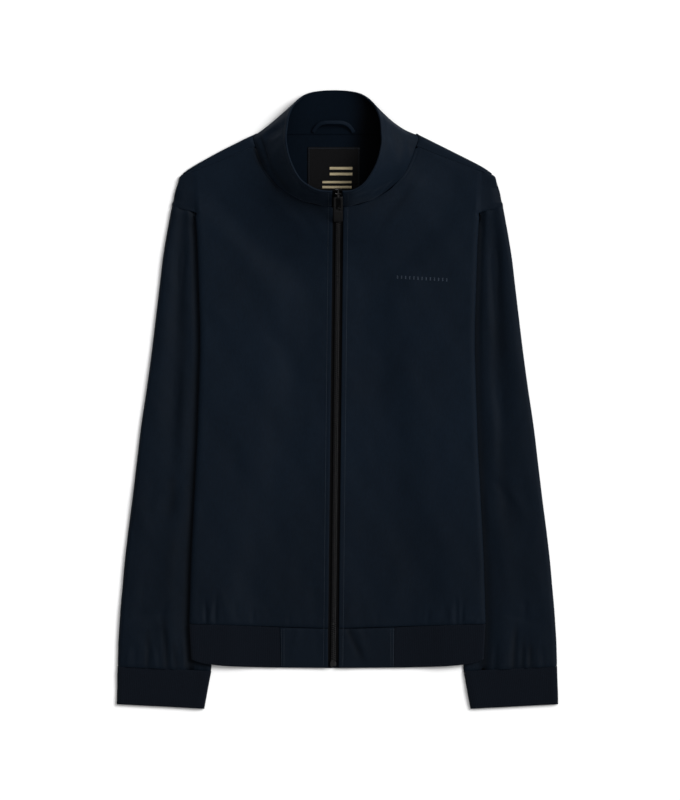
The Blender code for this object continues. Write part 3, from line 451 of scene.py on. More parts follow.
# Creases of the collar's outer side, placed as seen from above
COLLAR_FOLDS = (
    (-76, 352, -96, 340, -1.3, 2.6, 3.6),
    (-72, 344, -92, 331, 1, 3.4, 4),
    (-101, 344, -86, 302, -1.5, 1.7, 1.7),
    (-76, 306, -50, 276, -0.7, 3, 4),
    (-66, 300, -40, 272, 0.7, 4, 4),
    (-48, 268, -20, 258, -0.5, 2.2, 2.6),
    (24, 262, 62, 275, -0.9, 2.2, 3),
    (40, 266, 78, 290, 0.9, 3, 3.4),
    (58, 268, 90, 298, -0.9, 2.4, 3),
    (60, 366, 66, 318, 0.9, 4, 5),
    (70, 356, 76, 310, -1, 3.6, 4.4),
    (84, 346, 84, 304, 0.8, 4, 4.6),
    (95, 344, 93, 312, -0.7, 3, 3.4),
)
# Low undulation of cloth that lies free: wave length in X and Y, phase, height
UNDULATION = (
    (83, 131, 0.4, 0.22), (-57, 92, 1.9, 0.16), (39, 64, 3.1, 0.09), (23, -31, 5, 0.045),
)

# Painted shade in hollows and creases, where they keep the light out, as shares of the colour: ends, depth,
# half widths, as for the folds above
FRONT_SHADES = {"right": (
    (-108, 332, -95, 300, -0.80, 4, 4),
    (-97, 302, -74, 272, -0.60, 3.5, 3.5),
    (-74, 276, -40, 254, -0.35, 3, 3),
), "left": (
    (70, 280, 30, 238, -0.15, 6, 6),
    (98, 276, 60, 226, -0.12, 6, 8),
    (11, -264, 14.5, -296, -0.16, 4, 4),
)}
COLLAR_SHADES = (
    (-107, 340, -93, 298, -0.45, 2.4, 2.4),
    (-101, 346, -85, 300, -0.35, 1.8, 1.8),
    (-90, 304, -60, 270, -0.35, 2.6, 2.6),
)
TAB_SHADES = ((13.5, -294, 32, -340, -0.20, 3.5, 4),)
SLEEVE_SHADES = {"right": (
    (199, 226, 209, -92, -0.20, 7, 9),
    (212, -96, 218, -156, -0.22, 6, 6),
    (214, -170, 222, -270, -0.10, 9, 9),
    (246, -300, 246.5, -362, -0.22, 3, 4),
    (226, -284, 219, -366, -0.26, 3, 5),
    (211, -316, 208, -366, -0.22, 3, 3),
), "left": (
    (204, 222, 212, 20, -0.22, 6, 9),
    (214, -60, 220, -190, -0.12, 8, 9),
    (233, -290, 225, -366, -0.25, 3, 4),
    (242, -310, 238, -364, -0.20, 3, 3),
    (251, -314, 250, -362, -0.22, 3, 4),
)}
# Painted shade, where the jacket darkens towards the hem, and shares of the nylon's colour: a sleeve's as a
# whole, the least of it, and what is lost towards the hem, towards a cuff, on a dropped shoulder,
# on a sleeve beside the side fold, as the shadow of the body's edge, and on the left tab
WAIST_Y = -40.0
WAIST_TO_HEM = 230.0
SLEEVE_SHADE = 0.84
LEAST_SHADE = 0.15
LOWER_SHADE = 0.20
CUFF_END_SHADE = 0.10
SHOULDER_SHADE = 0.14
BESIDE_FOLD_SHADE = 0.38
LEFT_TAB_SHADE = 0.08
# Painted shade on the reverse of the nylon: its share of the colour, and of that the share left deep on the
# wearer's left, a painted shadow where the collar's inside lies in shadow, with the X where the shadow
# starts and is full
REVERSE_PAINTED_SHADE_SHARE = 0.62
SHADOW_SHARE = 0.2
SHADOW_FROM = 8.0
SHADOW_TO = 42.0

# ---- how the cloth is worked ----

# Distances between points along and across a front, sleeve and tab, as shares of the panel step
FRONT_STEPS = (1.15, 1.0)
SLEEVE_GRID_STEPS = (1.25, 1.0)
TAB_STEPS = (0.7, 0.7)
# The same in millimetres for the collar, a tape and the line of the teeth, and along the rib
COLLAR_GRID_STEPS = (2.2, 1.9)
TAPE_STEPS = (2.6, 2.0)
SPINE_STEPS = (2.0, 1.0)
RIB_ALONG_STEP = 5.0
STEPS_TO_RIB = 6
# Rounding of the cut edges of cloth, collar, label, tape, loop and metal strap
CUT_EDGE = 0.45
COLLAR_EDGE = 0.8
LABEL_EDGE = 0.2
TAPE_EDGE = 0.25
LOOP_EDGE = 0.3
STRAP_EDGE = 0.22
# Stitched edges: height of the roll at the edge, and how far in lie its crest and the topstitching's groove
ZIP_EDGE = (0.28, 2.6, 5.6)
RIM_EDGE = (0.25, 2.2, 5.8)
GROOVE_DEPTH = 0.30
# Puckers beside a seam and beside the zip: height, distance in from the edge, half width of their strip
SEAM_PUCKERS = (0.13, 3.5, 4.0)
ZIP_PUCKERS = (0.16, 9.5, 5.0)
# How far a sleeve sinks beside the side fold: depth, distance outside the fold, half width,
# and the length below its head over which it does
SLEEVE_CHANNEL = (2.0, 5.0, 14.0, 26.0)
HEAD_DROP = 0.6
TAB_BOTTOM_ROLL = 0.5
COLLAR_WAVE_HEIGHT = 1.9
COLLAR_SEAM_SHARE = 0.55
CUFF_WAIST = 0.35
BACK_FLAT_ABOVE = 262.0
LABEL_WAVE = 0.12
LABEL_EDGE_DROP = 0.25
LABEL_BAR_WALL = 0.4
LABEL_BAR_BEVEL = 0.12
LOOP_EDGE_DROP = 0.25
LOOP_POINTS = 24
TAPE_GAP = 0.2
# Points of metal nearer than this are one; edges of metal that stay sharp and of cloth that are rounded
WELD = 0.01
SHARP_ANGLE = math.radians(40.0)
BEVEL_ANGLE = math.radians(55.0)

# Zip tooth: size of its head and foot, place of the foot, shares of the head left at its tip,
# its distance from the zip's middle, and its bevel
TOOTH_HEAD = (3.4, 1.5, 2.2)
TOOTH_FOOT = (1.5, 2.1, 1.5)
TOOTH_FOOT_X = 1.45
TOOTH_TIP = (0.62, 0.8)
TOOTH_OFFSET = 0.75
TOOTH_BEVEL = 0.18

# Topstitching: how far beside the zip's opening, and the rows at a tab's end, in from its edge
ZIP_STITCH_INSET = 5.6
TAB_STITCH_INSETS = (2.2, 5.6)
TAB_STITCH_Y = (-345.5, -299.5)
# Parts of the row beside the zip: piece, Y from and to
STITCHED_RUNS = (
    ("cloth_hem_tab_SIDE", -344.0, -298.5),
    ("cloth_front_SIDE", -296.0, 249.0),
    ("cloth_collar", 252.0, 266.0),
)
LABEL_STITCH_INSET = 1.6
LABEL_STITCHES = {"Pitch": 2.4 * MM, "Length": 1.8 * MM}
# Chest mark: its first end, its run in X and Y, and the rows of short stitches that lie in it
MARK_START = (78.0, 159.0)
MARK_RUN = (64.0, -3.6)
MARK_ROWS = 8
MARK_ROW_GAP = 0.52
MARK_STITCHES = {"Pitch": 5.2 * MM, "Length": 2.0 * MM, "Thread": 0.25 * MM}
THREAD_LIFT = 0.12

# Stage, in metres but for the sensor's millimetres: floor just under the jacket, shares of its grey,
# camera beside the frame's middle
FLOOR_Z = -0.0002
FLOOR_GREY = 0.93
FLOOR_SHARES = (0.925 / FLOOR_GREY, 0.935 / FLOOR_GREY)
CAMERA_XY = (0.0034, -0.00065)
SENSOR_WIDTH = 36.0
CAMERA_REACH = 100.0
LIGHT_DISTANCE = 3.0

SIDES = ((-1, "right"), (1, "left"))
finish = {}
made = {}


# ---- what a user may change ----


def length_property(name, description, default_mm, low_mm=0.01, high_mm=1000.0):
    return bpy.props.FloatProperty(
        name=name, description=description, default=default_mm * MM, min=low_mm * MM, max=high_mm * MM,
        subtype="DISTANCE", unit="LENGTH", precision=5,
    )


def colour_property(name, description, default):
    return bpy.props.FloatVectorProperty(
        name=name, description=description, default=default, size=3, min=0.0, max=1.0, subtype="COLOR",
    )


def number_property(name, description, default, high=10.0):
    return bpy.props.FloatProperty(name=name, description=description, default=default, min=0.0, max=high)


def angle_property(name, description, default_deg):
    return bpy.props.FloatProperty(
        name=name, description=description, default=math.radians(default_deg), subtype="ANGLE",
    )


class JacketCloth(bpy.types.PropertyGroup):
    """Cloth shells and rib knit."""

    panel_step: length_property("Panel step", "Distance between points of a panel", 2.1)
    rib_pitch: length_property("Rib pitch", "Distance from one rib of the knit to the next", 2.4)
    rib_height: length_property("Rib height", "Height of a rib over the knit's ground", 0.34)
    crease_share: number_property("Crease share", "How much of the hand-placed creases shows", 1.0, 2.0)
    seam_depth: length_property("Seam depth", "How far a panel is drawn in at its seams", 0.7)


class JacketSewing(bpy.types.PropertyGroup):
    """Stitching and zip."""

    stitch_pitch: length_property("Stitch pitch", "Distance from one stitch to the next", 3.1)
    stitch_length: length_property("Stitch length", "Length of one stitch", 2.5)
    thread: length_property("Thread", "Diameter of the sewing thread", 0.5)
    tooth_pitch: length_property("Tooth pitch", "Distance between neighbouring zip teeth", 1.35)


class JacketColours(bpy.types.PropertyGroup):
    """Colours of the finishes, linear."""

    shell: colour_property("Shell", "Woven nylon of the panels and the collar", (0.0020, 0.0051, 0.0103))
    rib: colour_property("Rib", "Rib knit of cuffs and hem band", (0.0019, 0.0031, 0.0056))
    thread: colour_property("Thread", "Tone-on-tone sewing thread", (0.0095, 0.0165, 0.0275))
    mark_thread: colour_property("Mark thread", "Thread of the mark on the chest", (0.0200, 0.0310, 0.0470))
    tape: colour_property("Tape", "Zip tape and teeth", (0.0018, 0.0018, 0.0022))
    label: colour_property("Label", "Ground of the neck label", (0.0022, 0.0022, 0.0026))
    label_thread: colour_property("Label thread", "Woven bars of the neck label", (0.36, 0.30, 0.19))
    metal: colour_property("Metal", "Lacquered slider and pull", (0.0030, 0.0030, 0.0034))


class JacketStage(bpy.types.PropertyGroup):
    """Floor, lights and camera."""

    floor_size: length_property("Floor size", "Side of the pale floor", 6000.0, 100.0, 20000.0)
    camera_height: length_property("Camera height", "Height of the camera", 10000.0, 500.0, 50000.0)
    frame_height: length_property("Frame height", "Height of what the camera sees", 1040.0, 100.0, 5000.0)
    key_strength: number_property("Key", "Strength of the key light", 2.95)
    key_height: angle_property("Key height", "Angle of the key light above the floor", 40.0)
    key_turn: angle_property("Key direction", "Side the key light comes from, turned from +X", 26.0)
    key_size: angle_property("Key size", "Angle that the key light fills, for soft shadows", 28.0)
    fill_strength: number_property("Fill", "Strength of the broad fill light", 0.92)
    fill_height: angle_property("Fill height", "Angle of the fill light above the floor", 62.0)
    fill_turn: angle_property("Fill direction", "Side the fill light comes from, turned from +X", 50.0)
    fill_size: angle_property("Fill size", "Angle that the fill light takes up", 100.0)
    sky: number_property("Sky", "Strength of the even surrounding light", 0.31)


# ---- forms of the cut ----


def table_value(table, key):
    """The second column of a table at a place in its first one."""
    return np.interp(key, [row[0] for row in table], [row[1] for row in table])


def smooth(value):
    """A soft step from 0 to 1."""
    t = np.clip(value, 0.0, 1.0)
    return t * t * (3.0 - 2.0 * t)


def bell(value, centre, width):
    """A soft hump of height 1 over a centre."""
    return np.exp(-(((value - centre) / width) ** 2))


def unit(vectors):
    return vectors / np.maximum(np.linalg.norm(vectors, axis=-1), 1e-9)[..., None]


def left_of(steps):
    """Unit directions to the left of steps in a plane."""
    return unit(np.stack([-steps[:, 1], steps[:, 0]], axis=1))


def spans(points, axis=0):
    """Distances between neighbouring points along an axis of a grid."""
    return np.linalg.norm(np.diff(points, axis=axis), axis=-1)


def spline_rows(rows, steps):
    """Rows of numbers with Catmull-Rom rows added between them."""
    rows = np.array(rows, float)
    ends = np.vstack([2 * rows[0] - rows[1], rows, 2 * rows[-1] - rows[-2]])
    finer = []
    for i in range(1, len(ends) - 2):
        for step in range(steps):
            t = step / steps
            a, b, c, d = ends[i - 1:i + 3]
            square = (2 * a - 5 * b + 4 * c - d) * t**2
            cube = (3 * b - a - 3 * c + d) * t**3
            finer.append(0.5 * (2 * b + (c - a) * t + square + cube))
    finer.append(rows[-1])
    return np.array(finer)


def distance_to_line(x, y, line):
    """Distance from a point to a polyline, and the polyline's Z at the nearest place."""
    best = (1e9, 0.0)
    for (ax, ay, az), (bx, by, bz) in zip(line[:-1], line[1:]):
        run = (bx - ax) ** 2 + (by - ay) ** 2
        t = min(max(((x - ax) * (bx - ax) + (y - ay) * (by - ay)) / run, 0.0), 1.0)
        gap = math.hypot(x - ax - t * (bx - ax), y - ay - t * (by - ay))
        if gap < best[0]:
            best = (gap, az + t * (bz - az))
    return best


NECKLINE = [row[0:3] for row in COLLAR_STATIONS[:8]]
SHOULDER_LINE = [row[0:3] for row in FRONT_TOP_ROWS[7:]]


def side_fold(y):
    return table_value(SIDE_FOLD, y)


def tucked_edge(y):
    if y <= UNDERARM[1]:
        return table_value(SLEEVE_INNER, y)
    slope = (ARMHOLE_CORNER[0] - UNDERARM[0]) / (ARMHOLE_CORNER[1] - UNDERARM[1])
    return UNDERARM[0] + slope * (y - UNDERARM[1])


def back_bottom(half, y):
    if y > ARMHOLE_AT_FOLD_Y + 0.5:
        return 0.0
    return BACK_LIFT * smooth((half - tucked_edge(y) + LIFT_START) / LIFT_RUN)


def zip_x(y):
    return ZIP_TOP_X + ZIP_LEAN * (ZIP_TOP_Y - y) / ZIP_RUN


def front_top(half, y):
    """Top surface of a front at a half width and Y."""
    rise = smooth((half - tucked_edge(max(y, HEM_SEAM_Y)) + SIDE_RISE_INSIDE) / SIDE_RISE_RUN)
    z = FRONT_LEVEL + (table_value(SIDE_LEVEL, y) - FRONT_LEVEL) * rise
    z += ZIP_RIDGE * bell(half, ZIP_HALF_OPENING, ZIP_RIDGE_WIDTH)
    for ax, ay, bx, by, depth, width in FRONT_TROUGHS:
        gap, _ = distance_to_line(half, y, [(ax, ay, 0.0), (bx, by, 1.0)])
        z -= depth * bell(gap, 0.0, width)
    z = max(z, FRONT_LEVEL - TROUGH_LIMIT)
    gap, neck = distance_to_line(half, y, NECKLINE)
    z += (neck - z) * (1.0 - smooth(gap / NECK_REACH))
    gap, ridge = distance_to_line(half, y, SHOULDER_LINE)
    z += (ridge - z) * (1.0 - smooth(gap / SHOULDER_REACH)) * smooth((y - SHOULDER_FROM_Y) / SHOULDER_RUN)
    inward = side_fold(y) - half
    for place, length, height, width in HEM_GATHERS:
        up = (y - HEM_SEAM_Y) / length
        if 0.0 <= up < 1.0:
            z += height * (1.0 - up) ** 2 * bell(inward, place, width)
    return z


def between(start, end, share):
    """The place at a share of the way from one (X, Y) to another."""
    return tuple(a + (b - a) * share for a, b in zip(start, end))


def front_row(outer, knee, inner, edge_levels):
    points = [(*between(outer, knee, share), level) for share, level in edge_levels]
    for share in FRONT_ACROSS:
        x, y = between(knee, inner, share)
        points.append((x, y, front_top(x, y)))
    return points


def rolled_edge(level, foot):
    turns = [math.radians(18.0 * step) for step in range(6)]
    return [(1.0 - math.cos(turn), foot + (level - foot) * math.sin(turn)) for turn in turns]


def strip_levels(outer, fold, edge):
    """The dropped shoulder outside the side fold, lower than the front, with its step at the fold."""
    width = outer[0] - fold + 4.0
    foot = SHELL_WALL + SEAM_GAP + FOOT_CLEARANCE if edge is None else edge
    main = front_top(fold - 4.0, outer[1])
    low = min(SHOULDER_LEVEL, main - 0.2)
    near_fold = (outer[0] - fold - 2.5) / width
    at_fold = (outer[0] - fold + 0.5) / width
    shoulder_in = min(1.8 / width, near_fold * 0.4)
    return [
        (0.0, foot), (shoulder_in, foot + (low - foot) * 0.8), ((shoulder_in + near_fold) / 2, low),
        (near_fold, low - 0.3), (at_fold, (low + main) / 2), (1.0, main),
    ]


def neck_lean(side, y):
    """How far the shoulder's neck end shifts in half width, because the collar sits off the centre line."""
    return side * SEAM_LEAN * smooth((y - NECK_FROM_Y) / NECK_RUN)


def front_rows(side):
    rows = []
    for y in FRONT_LOWER_Y:
        half = side_fold(y)
        knee = (half - FOLD_ROLL, y)
        dip = HEM_SEAM_DIP * smooth((-y - 150.0) / 142.0)
        inner = (ZIP_HALF_OPENING + side * zip_x(y), y - dip)
        foot = back_bottom(half, y) + SHELL_WALL + SEAM_GAP + FOOT_CLEARANCE / 2
        rows.append(front_row((half, y), knee, inner, rolled_edge(front_top(*knee), foot)))
    for outer_half, outer_y, edge, inner_half, inner_y in FRONT_TOP_ROWS:
        outer = (outer_half + neck_lean(side, outer_y), outer_y)
        if inner_half is None:
            inner_half = ZIP_HALF_OPENING + side * zip_x(inner_y)
        else:
            inner_half += SEAM_GAP + side * SEAM_LEAN * smooth(inner_half / 60.0)
        inner = (inner_half, inner_y)
        fold = side_fold(outer_y)
        if outer_half > fold + 5.0:
            rows.append(front_row(outer, (fold - 4.0, outer_y), inner, strip_levels(outer, fold, edge)))
        else:
            knee = between(outer, inner, 0.08)
            levels = [(k / 5, edge + (front_top(*knee) - edge) * k / 5) for k in range(6)]
            rows.append(front_row(outer, knee, inner, levels))
    return rows


def back_columns(half, y):
    ramp_low = min(tucked_edge(y) - LIFT_START, half - LIFT_RUN)
    ramp_high = min(ramp_low + LIFT_RUN, half - 4.0)
    return [
        0.0, ramp_low / 3, ramp_low * 2 / 3, ramp_low,
        (ramp_low + ramp_high) / 2, ramp_high, (ramp_high + half) / 2, half,
    ]


def wrap_points(half, y, height, forward):
    """Points of the shoulder's turn, from the flat end round the shoulder line and forward to the seam."""
    radius = height / 2
    nx, ny = SHOULDER_NORMAL
    points = []
    for step in range(1, 6):
        turn = math.radians(180.0 * step / 5)
        out = radius * math.sin(turn)
        points.append((half - nx * out, y - ny * out, radius * (1.0 - math.cos(turn))))
    reach = max(forward - radius, 1.0) + SHOULDER_CLOSE
    for share in (0.5, 1.0):
        points.append((half + nx * reach * share, y + ny * reach * share, height))
    return points


def neck_corner_points():
    return [(x - NECK_CLOSE * smooth(z / 3.0), y, z) for x, y, z in spline_rows(NECK_CORNER, 2)]


def sleeve_height(half, y, outer_half, shown_from):
    """Top of a sleeve: two soft rolls beside a trough where it shows, thin where it is tucked under."""
    if half <= shown_from:
        return TUCKED_SLEEVE_LEVEL
    place = (half - shown_from) / (outer_half - shown_from)
    level = SLEEVE_LEVEL
    for where, height, width in SLEEVE_ROLLS:
        level += height * bell(place, where, width)
    for where, top, bottom, depth, width in SLEEVE_TROUGHS:
        ends = smooth((top - y) / TROUGH_FADE) * smooth((y - bottom) / TROUGH_FADE)
        level -= depth * ends * bell(place, where, width)
    up = y - CUFF_SEAM_Y + CUFF_INNER_DROP * 0.5
    for where, length, height, width in CUFF_GATHERS:
        if -4.0 <= up < length:
            across = (place - where) * (outer_half - shown_from)
            level += height * (1.0 - max(up, 0.0) / length) ** 1.5 * bell(across, 0.0, width)
    return TUCKED_SLEEVE_LEVEL + (level - TUCKED_SLEEVE_LEVEL) * smooth((half - shown_from) / 9.0)


def along_anchors(anchors, share):
    keys = [anchor[0] for anchor in anchors]
    return tuple(float(np.interp(share, keys, [anchor[axis] for anchor in anchors])) for axis in (1, 2))


def tube_ring(anchors, shares, height_at):
    """Points round a flattened tube: over the top along the anchors, and back underneath."""
    middle = TUCKED_SLEEVE_LEVEL / 2
    start, end = (along_anchors(anchors, share) for share in (0.0, 1.0))
    points = []
    for over, share in [(True, share) for share in shares] + [(False, share) for share in UNDER_SHARES]:
        x, y = along_anchors(anchors, share)
        gap = min(math.hypot(x - start[0], y - start[1]), math.hypot(x - end[0], y - end[1]))
        turn = math.sqrt(max(0.0, 1.0 - (1.0 - min(gap / TUBE_SIDE, 1.0)) ** 2))
        z = middle + (height_at(x, y) - middle) * turn if over else middle * (1.0 - turn)
        points.append((x, y, z))
    return points


def sleeve_ring(step):
    """One section of a sleeve, from its outer edge to the tucked inner edge."""
    outer_y = SLEEVE_TOP_Y + (CUFF_SEAM_Y - SLEEVE_TOP_Y) * step
    inner_y = UNDERARM[1] + (CUFF_SEAM_Y - CUFF_INNER_DROP - UNDERARM[1]) * step
    outer_half = table_value(SLEEVE_OUTER, outer_y)
    fold_y = outer_y - 6.8 + 1.9 * step
    fold = side_fold(max(fold_y, HEM_BOTTOM_Y)) + 1.7
    inner_half = table_value(SLEEVE_INNER, inner_y)
    corner = smooth(1.0 - step / 0.06)
    knee_x = fold - 1.0 - (fold - inner_half) * 0.15 * (1.0 - corner)
    knee_y = fold_y - 8.2 * corner - (fold_y - inner_y) * 0.15 * (1.0 - corner)
    anchors = [
        (0.0, outer_half, outer_y), (SHOWN_SHARE, fold, fold_y),
        (0.78, knee_x, knee_y), (1.0, inner_half, inner_y),
    ]

    def height(x, y):
        return sleeve_height(x, y, outer_half, fold - 1.0)

    return tube_ring(anchors, TUBE_SHARES, height)


def cuff_ring(step):
    outer_y = CUFF_SEAM_Y - SEAM_GAP + (CUFF_BOTTOM_Y - CUFF_SEAM_Y + SEAM_GAP) * step
    inner_y = outer_y - CUFF_INNER_DROP + 0.4 * step
    anchors = [
        (0.0, table_value(SLEEVE_OUTER, outer_y), outer_y),
        (1.0, table_value(SLEEVE_INNER, inner_y), inner_y),
    ]
    pinch = 0.5 * (1.0 - smooth(step / 0.06)) + 0.5 * smooth((step - 0.94) / 0.06)

    def height(x, y):
        shown = smooth((x - 176.0) / 16.0) if y > -345.0 else 1.0
        return TUCKED_SLEEVE_LEVEL + (1.9 - pinch) * shown

    return tube_ring(anchors, CUFF_SHARES, height)


def band_level(half):
    return front_top(half, BAND_LEVEL_Y)


def band_bottom_y(half):
    """The hem band's bottom edge, straight but for its rise to each side fold."""
    inward = max(side_fold(HEM_SEAM_Y) - half, 0.0)
    rise = sum(height * math.exp(-inward / reach) for height, reach in HEM_BAND_RISES)
    return HEM_SEAM_Y - HEM_BAND_HEIGHT + rise


def band_point(half, z, step, front):
    """A point of the hem band; its back lies straight, its front follows the band's dip."""
    top = HEM_SEAM_Y - SEAM_GAP
    if front:
        top -= HEM_SEAM_DIP * smooth((side_fold(HEM_SEAM_Y) - half) / 185.0)
    bottom = band_bottom_y(half)
    narrowing = (side_fold(HEM_SEAM_Y) - side_fold(HEM_BOTTOM_Y)) * step
    return (half - narrowing * half / side_fold(HEM_SEAM_Y), top + (bottom - top) * step, z)


def hem_rib_rows():
    fold = side_fold(HEM_SEAM_Y)
    level = front_top(fold - FOLD_ROLL, BAND_LEVEL_Y)
    middle, radius = (level + BACK_LIFT) / 2, (level - BACK_LIFT) / 2
    rows = []
    for step in BAND_STEPS:
        row = []
        for half in (0.0, 50.0, 100.0, 140.0, 147.0, 152.0, 157.0, 170.0, fold - 4.0):
            row.append(band_point(half, back_bottom(half, HEM_SEAM_Y), step, False))
        for turn in range(1, 6):
            angle = math.radians(180.0 * turn / 6 - 90.0)
            row.append(
                band_point(fold - 4.0 + 4.0 * math.cos(angle), middle + radius * math.sin(angle), step, True)
            )
        for half in (fold - 4.0, fold - 14.0, 160.0, 140.0, 120.0, 100.0, TAB_HALF_WIDTH + 0.2):
            row.append(band_point(half, band_level(half), step, True))
        row = np.array(row)
        left = row[:0:-1].copy()
        left[:, 0] *= -1
        rows.append(np.concatenate([left, row]))
    return np.array(rows)


def hem_tab_rows(side):
    inner = ZIP_HALF_OPENING + side * zip_x(-320.0)
    outer = TAB_HALF_WIDTH - 0.2
    rows = []
    for step in BAND_STEPS:
        halves = [outer + (inner - outer) * share / 5 for share in range(6)]
        rows.append([band_point(half, band_level(half), step, True) for half in halves])
    return np.array(rows)[::-1]


def collar_rows():
    """Collar columns from the wearer's right front edge round to the left one, each from seam to rim."""
    table = [row + (share,) for row, share in zip(COLLAR_STATIONS, HOLLOW_SHARES)]
    half = spline_rows(table, COLLAR_STEPS_BETWEEN)
    columns = []
    for side, rows in ((-1, half), (1, half[-2::-1])):
        for seam_x, seam_y, seam_z, rim_x, rim_y, rim_z, lean, hollow in rows:
            seam = np.array((side * seam_x + SEAM_LEAN * lean, seam_y, max(seam_z, 0.0)))
            rim = np.array((side * rim_x + RIM_LEAN * lean, rim_y, rim_z))
            rise = min(max((rim_z - seam_z) / 34.0, 0.0), 1.0)
            out = unit((seam - (*COLLAR_MIDDLE, 0.0)) * (1.0, 1.0, 0.0))
            run = rim - seam
            across = unit(np.array((run[1], -run[0], 0.0))) * (1.0 if run[0] > 0.0 else -1.0)
            across *= max(hollow, 0.0) * COLLAR_HOLLOW[0 if side < 0 else 1]
            column = []
            for share in np.linspace(0.0, 1.0, COLLAR_ROWS + 1):
                belly = COLLAR_BELLY * rise * math.sin(math.pi * share)
                dip = math.sin(math.pi * share**HOLLOW_POWER)
                column.append(seam + run * share + out * belly + across * dip)
            columns.append(column)
    return np.array(columns)


def collar_front_line():
    """Seam point, direction up the collar and outward direction at the centre front, in (Y, Z)."""
    seam = np.array(COLLAR_STATIONS[0][1:3])
    along = unit(np.array(COLLAR_STATIONS[0][4:6]) - seam)
    return seam, along, np.array((-along[1], along[0]))


def zip_level(y):
    reach = (ZIP_HALF_OPENING, ZIP_HALF_OPENING + 5.0, ZIP_HALF_OPENING + 11.0)
    return min(front_top(half, max(y, BAND_LEVEL_Y)) for half in reach)


def zip_path():
    """Outer surface along the zip: (Y, Z) from the hem's bottom edge, up front and collar, to the rim."""
    points = [(y, zip_level(y)) for y in (-340.0, -315.0, -290.0) + FRONT_LOWER_Y[4:]]
    seam, along, outward = collar_front_line()
    length = math.hypot(COLLAR_STATIONS[0][4] - seam[0], COLLAR_STATIONS[0][5] - seam[1])
    points.append((seam[0] + 0.4, seam[1] - 2.1))
    for share in (0.08, 0.2, 0.4, 0.6, 0.78, 0.97):
        points.append(tuple(seam + along * length * share - outward * (COLLAR_WALL - SHELL_WALL)))
    return np.array(points)


def path_normals(path):
    """Normals of the zip's path, lengthened at bends so that layers keep their distance."""
    flat = left_of(np.diff(path, axis=0))
    before, after = np.vstack([flat[:1], flat]), np.vstack([flat, flat[-1:]])
    middle = unit(before + after)
    return middle / np.sum(middle * before, axis=1)[:, None]


def zip_ribbon(x_from, x_to, depth, columns):
    """Rows of points along the zip, a depth under the cloth's outer surface."""
    path = zip_path()
    line = path - path_normals(path) * depth
    return np.array([[(zip_x(y) + x, y, z) for x in np.linspace(x_from, x_to, columns)] for y, z in line])


def slider_frame():
    """Matrix of the slider in metres: origin on the zip's surface, local Y up the zip, local Z outward."""
    _, along, outward = collar_front_line()
    rim = np.array(COLLAR_STATIONS[0][4:6])
    place = rim - along * SLIDER_FROM_RIM - outward * (COLLAR_WALL - SHELL_WALL)
    matrix = Matrix(((1.0, 0.0, 0.0), (0.0, *along), (0.0, *outward))).transposed().to_4x4()
    matrix.translation = Vector((zip_x(rim[0]), *place)) * MM
    return matrix


# ---- from sections to cloth ----


def refined(points, step, closed=False):
    """Sections with smooth ones added between them along the first axis, about a step apart."""
    if closed:
        points = np.concatenate([points[-2:], points, points[:3]])
    gaps = np.maximum(spans(points).mean(axis=1), 1e-3)
    slope = np.diff(points, axis=0) / gaps[:, None, None]
    tangent = np.empty_like(points)
    tangent[0], tangent[-1] = slope[0], slope[-1]
    before, after = gaps[:-1, None, None], gaps[1:, None, None]
    tangent[1:-1] = (slope[:-1] * after + slope[1:] * before) / (before + after)
    ahead = unit(slope)
    straight = np.sum(ahead[:-1] * ahead[1:], axis=-1)
    tangent[1:-1] *= smooth((straight + 0.3) / 0.9)[..., None]
    first, last = (2, len(points) - 3) if closed else (0, len(points) - 1)
    rows = []
    for i in range(first, last):
        count = max(1, int(round(gaps[i] / step)))
        for k in range(count):
            t = k / count
            rows.append(
                points[i] * (2 * t**3 - 3 * t**2 + 1) + tangent[i] * gaps[i] * (t**3 - 2 * t**2 + t)
                + points[i + 1] * (3 * t**2 - 2 * t**3) + tangent[i + 1] * gaps[i] * (t**3 - t**2)
            )
    if not closed:
        rows.append(points[-1])
    return np.array(rows)


def fine_grid(grid, along_step, across_step, closed=False):
    grid = refined(np.asarray(grid, float), along_step)
    return refined(grid.swapaxes(0, 1), across_step, closed).swapaxes(0, 1)


def grid_normals(grid, closed=False):
    """Unit normals that point to the side that the faces made from the grid show."""
    down = np.gradient(grid, axis=0)
    if closed:
        wide = np.concatenate([grid[:, -1:], grid, grid[:, :1]], axis=1)
        across = (wide[:, 2:] - wide[:, :-2]) / 2
    else:
        across = np.gradient(grid, axis=1)
    return unit(np.cross(across, down))


def fold_height(x, y, folds):
    """Height that the soft creases give at each point; each fades at its ends and wanders a little."""
    total = np.zeros_like(x)
    for ax, ay, bx, by, height, before, after in folds:
        run = np.array((bx - ax, by - ay))
        length = np.linalg.norm(run)
        ux, uy = run / length
        t = ((x - ax) * ux + (y - ay) * uy) / length
        off = (x - ax) * -uy + (y - ay) * ux + 0.12 * (before + after) * np.sin(5.0 * t + ax)
        width = np.where(off < 0.0, before, after) * (0.75 + 0.5 * np.clip(t, 0.0, 1.0))
        ends = smooth((t + 0.12) / 0.35) * smooth((1.12 - t) / 0.45)
        total += height * ends * bell(off, 0.0, width)
    return total


def above_armhole(y):
    """From 0 to 1 where the dropped shoulder starts outside the side fold."""
    return smooth((y - ARMHOLE_TOP[0]) / ARMHOLE_TOP[1])


def shoulder_creases(half, y):
    """The side fold run on over the dropped shoulder, and the small upright wrinkles outside it."""
    shown = above_armhole(y) * smooth((300.0 - y) / 14.0)
    off = half - side_fold(y) - 0.8
    total = -1.1 * bell(off, 0.0, 1.5)
    for place, height, width in SHOULDER_WRINKLES:
        wander = 1.2 * np.sin(y / 11.0 + place)
        total += height * bell(off - wander, place, width) * smooth((place + 16.0 - off) / 8.0)
    return total * shown


def undulation(x, y):
    total = np.zeros_like(x)
    for wave_x, wave_y, phase, height in UNDULATION:
        total += height * np.sin(2 * math.pi * (x / wave_x + y / wave_y) + phase)
    return total


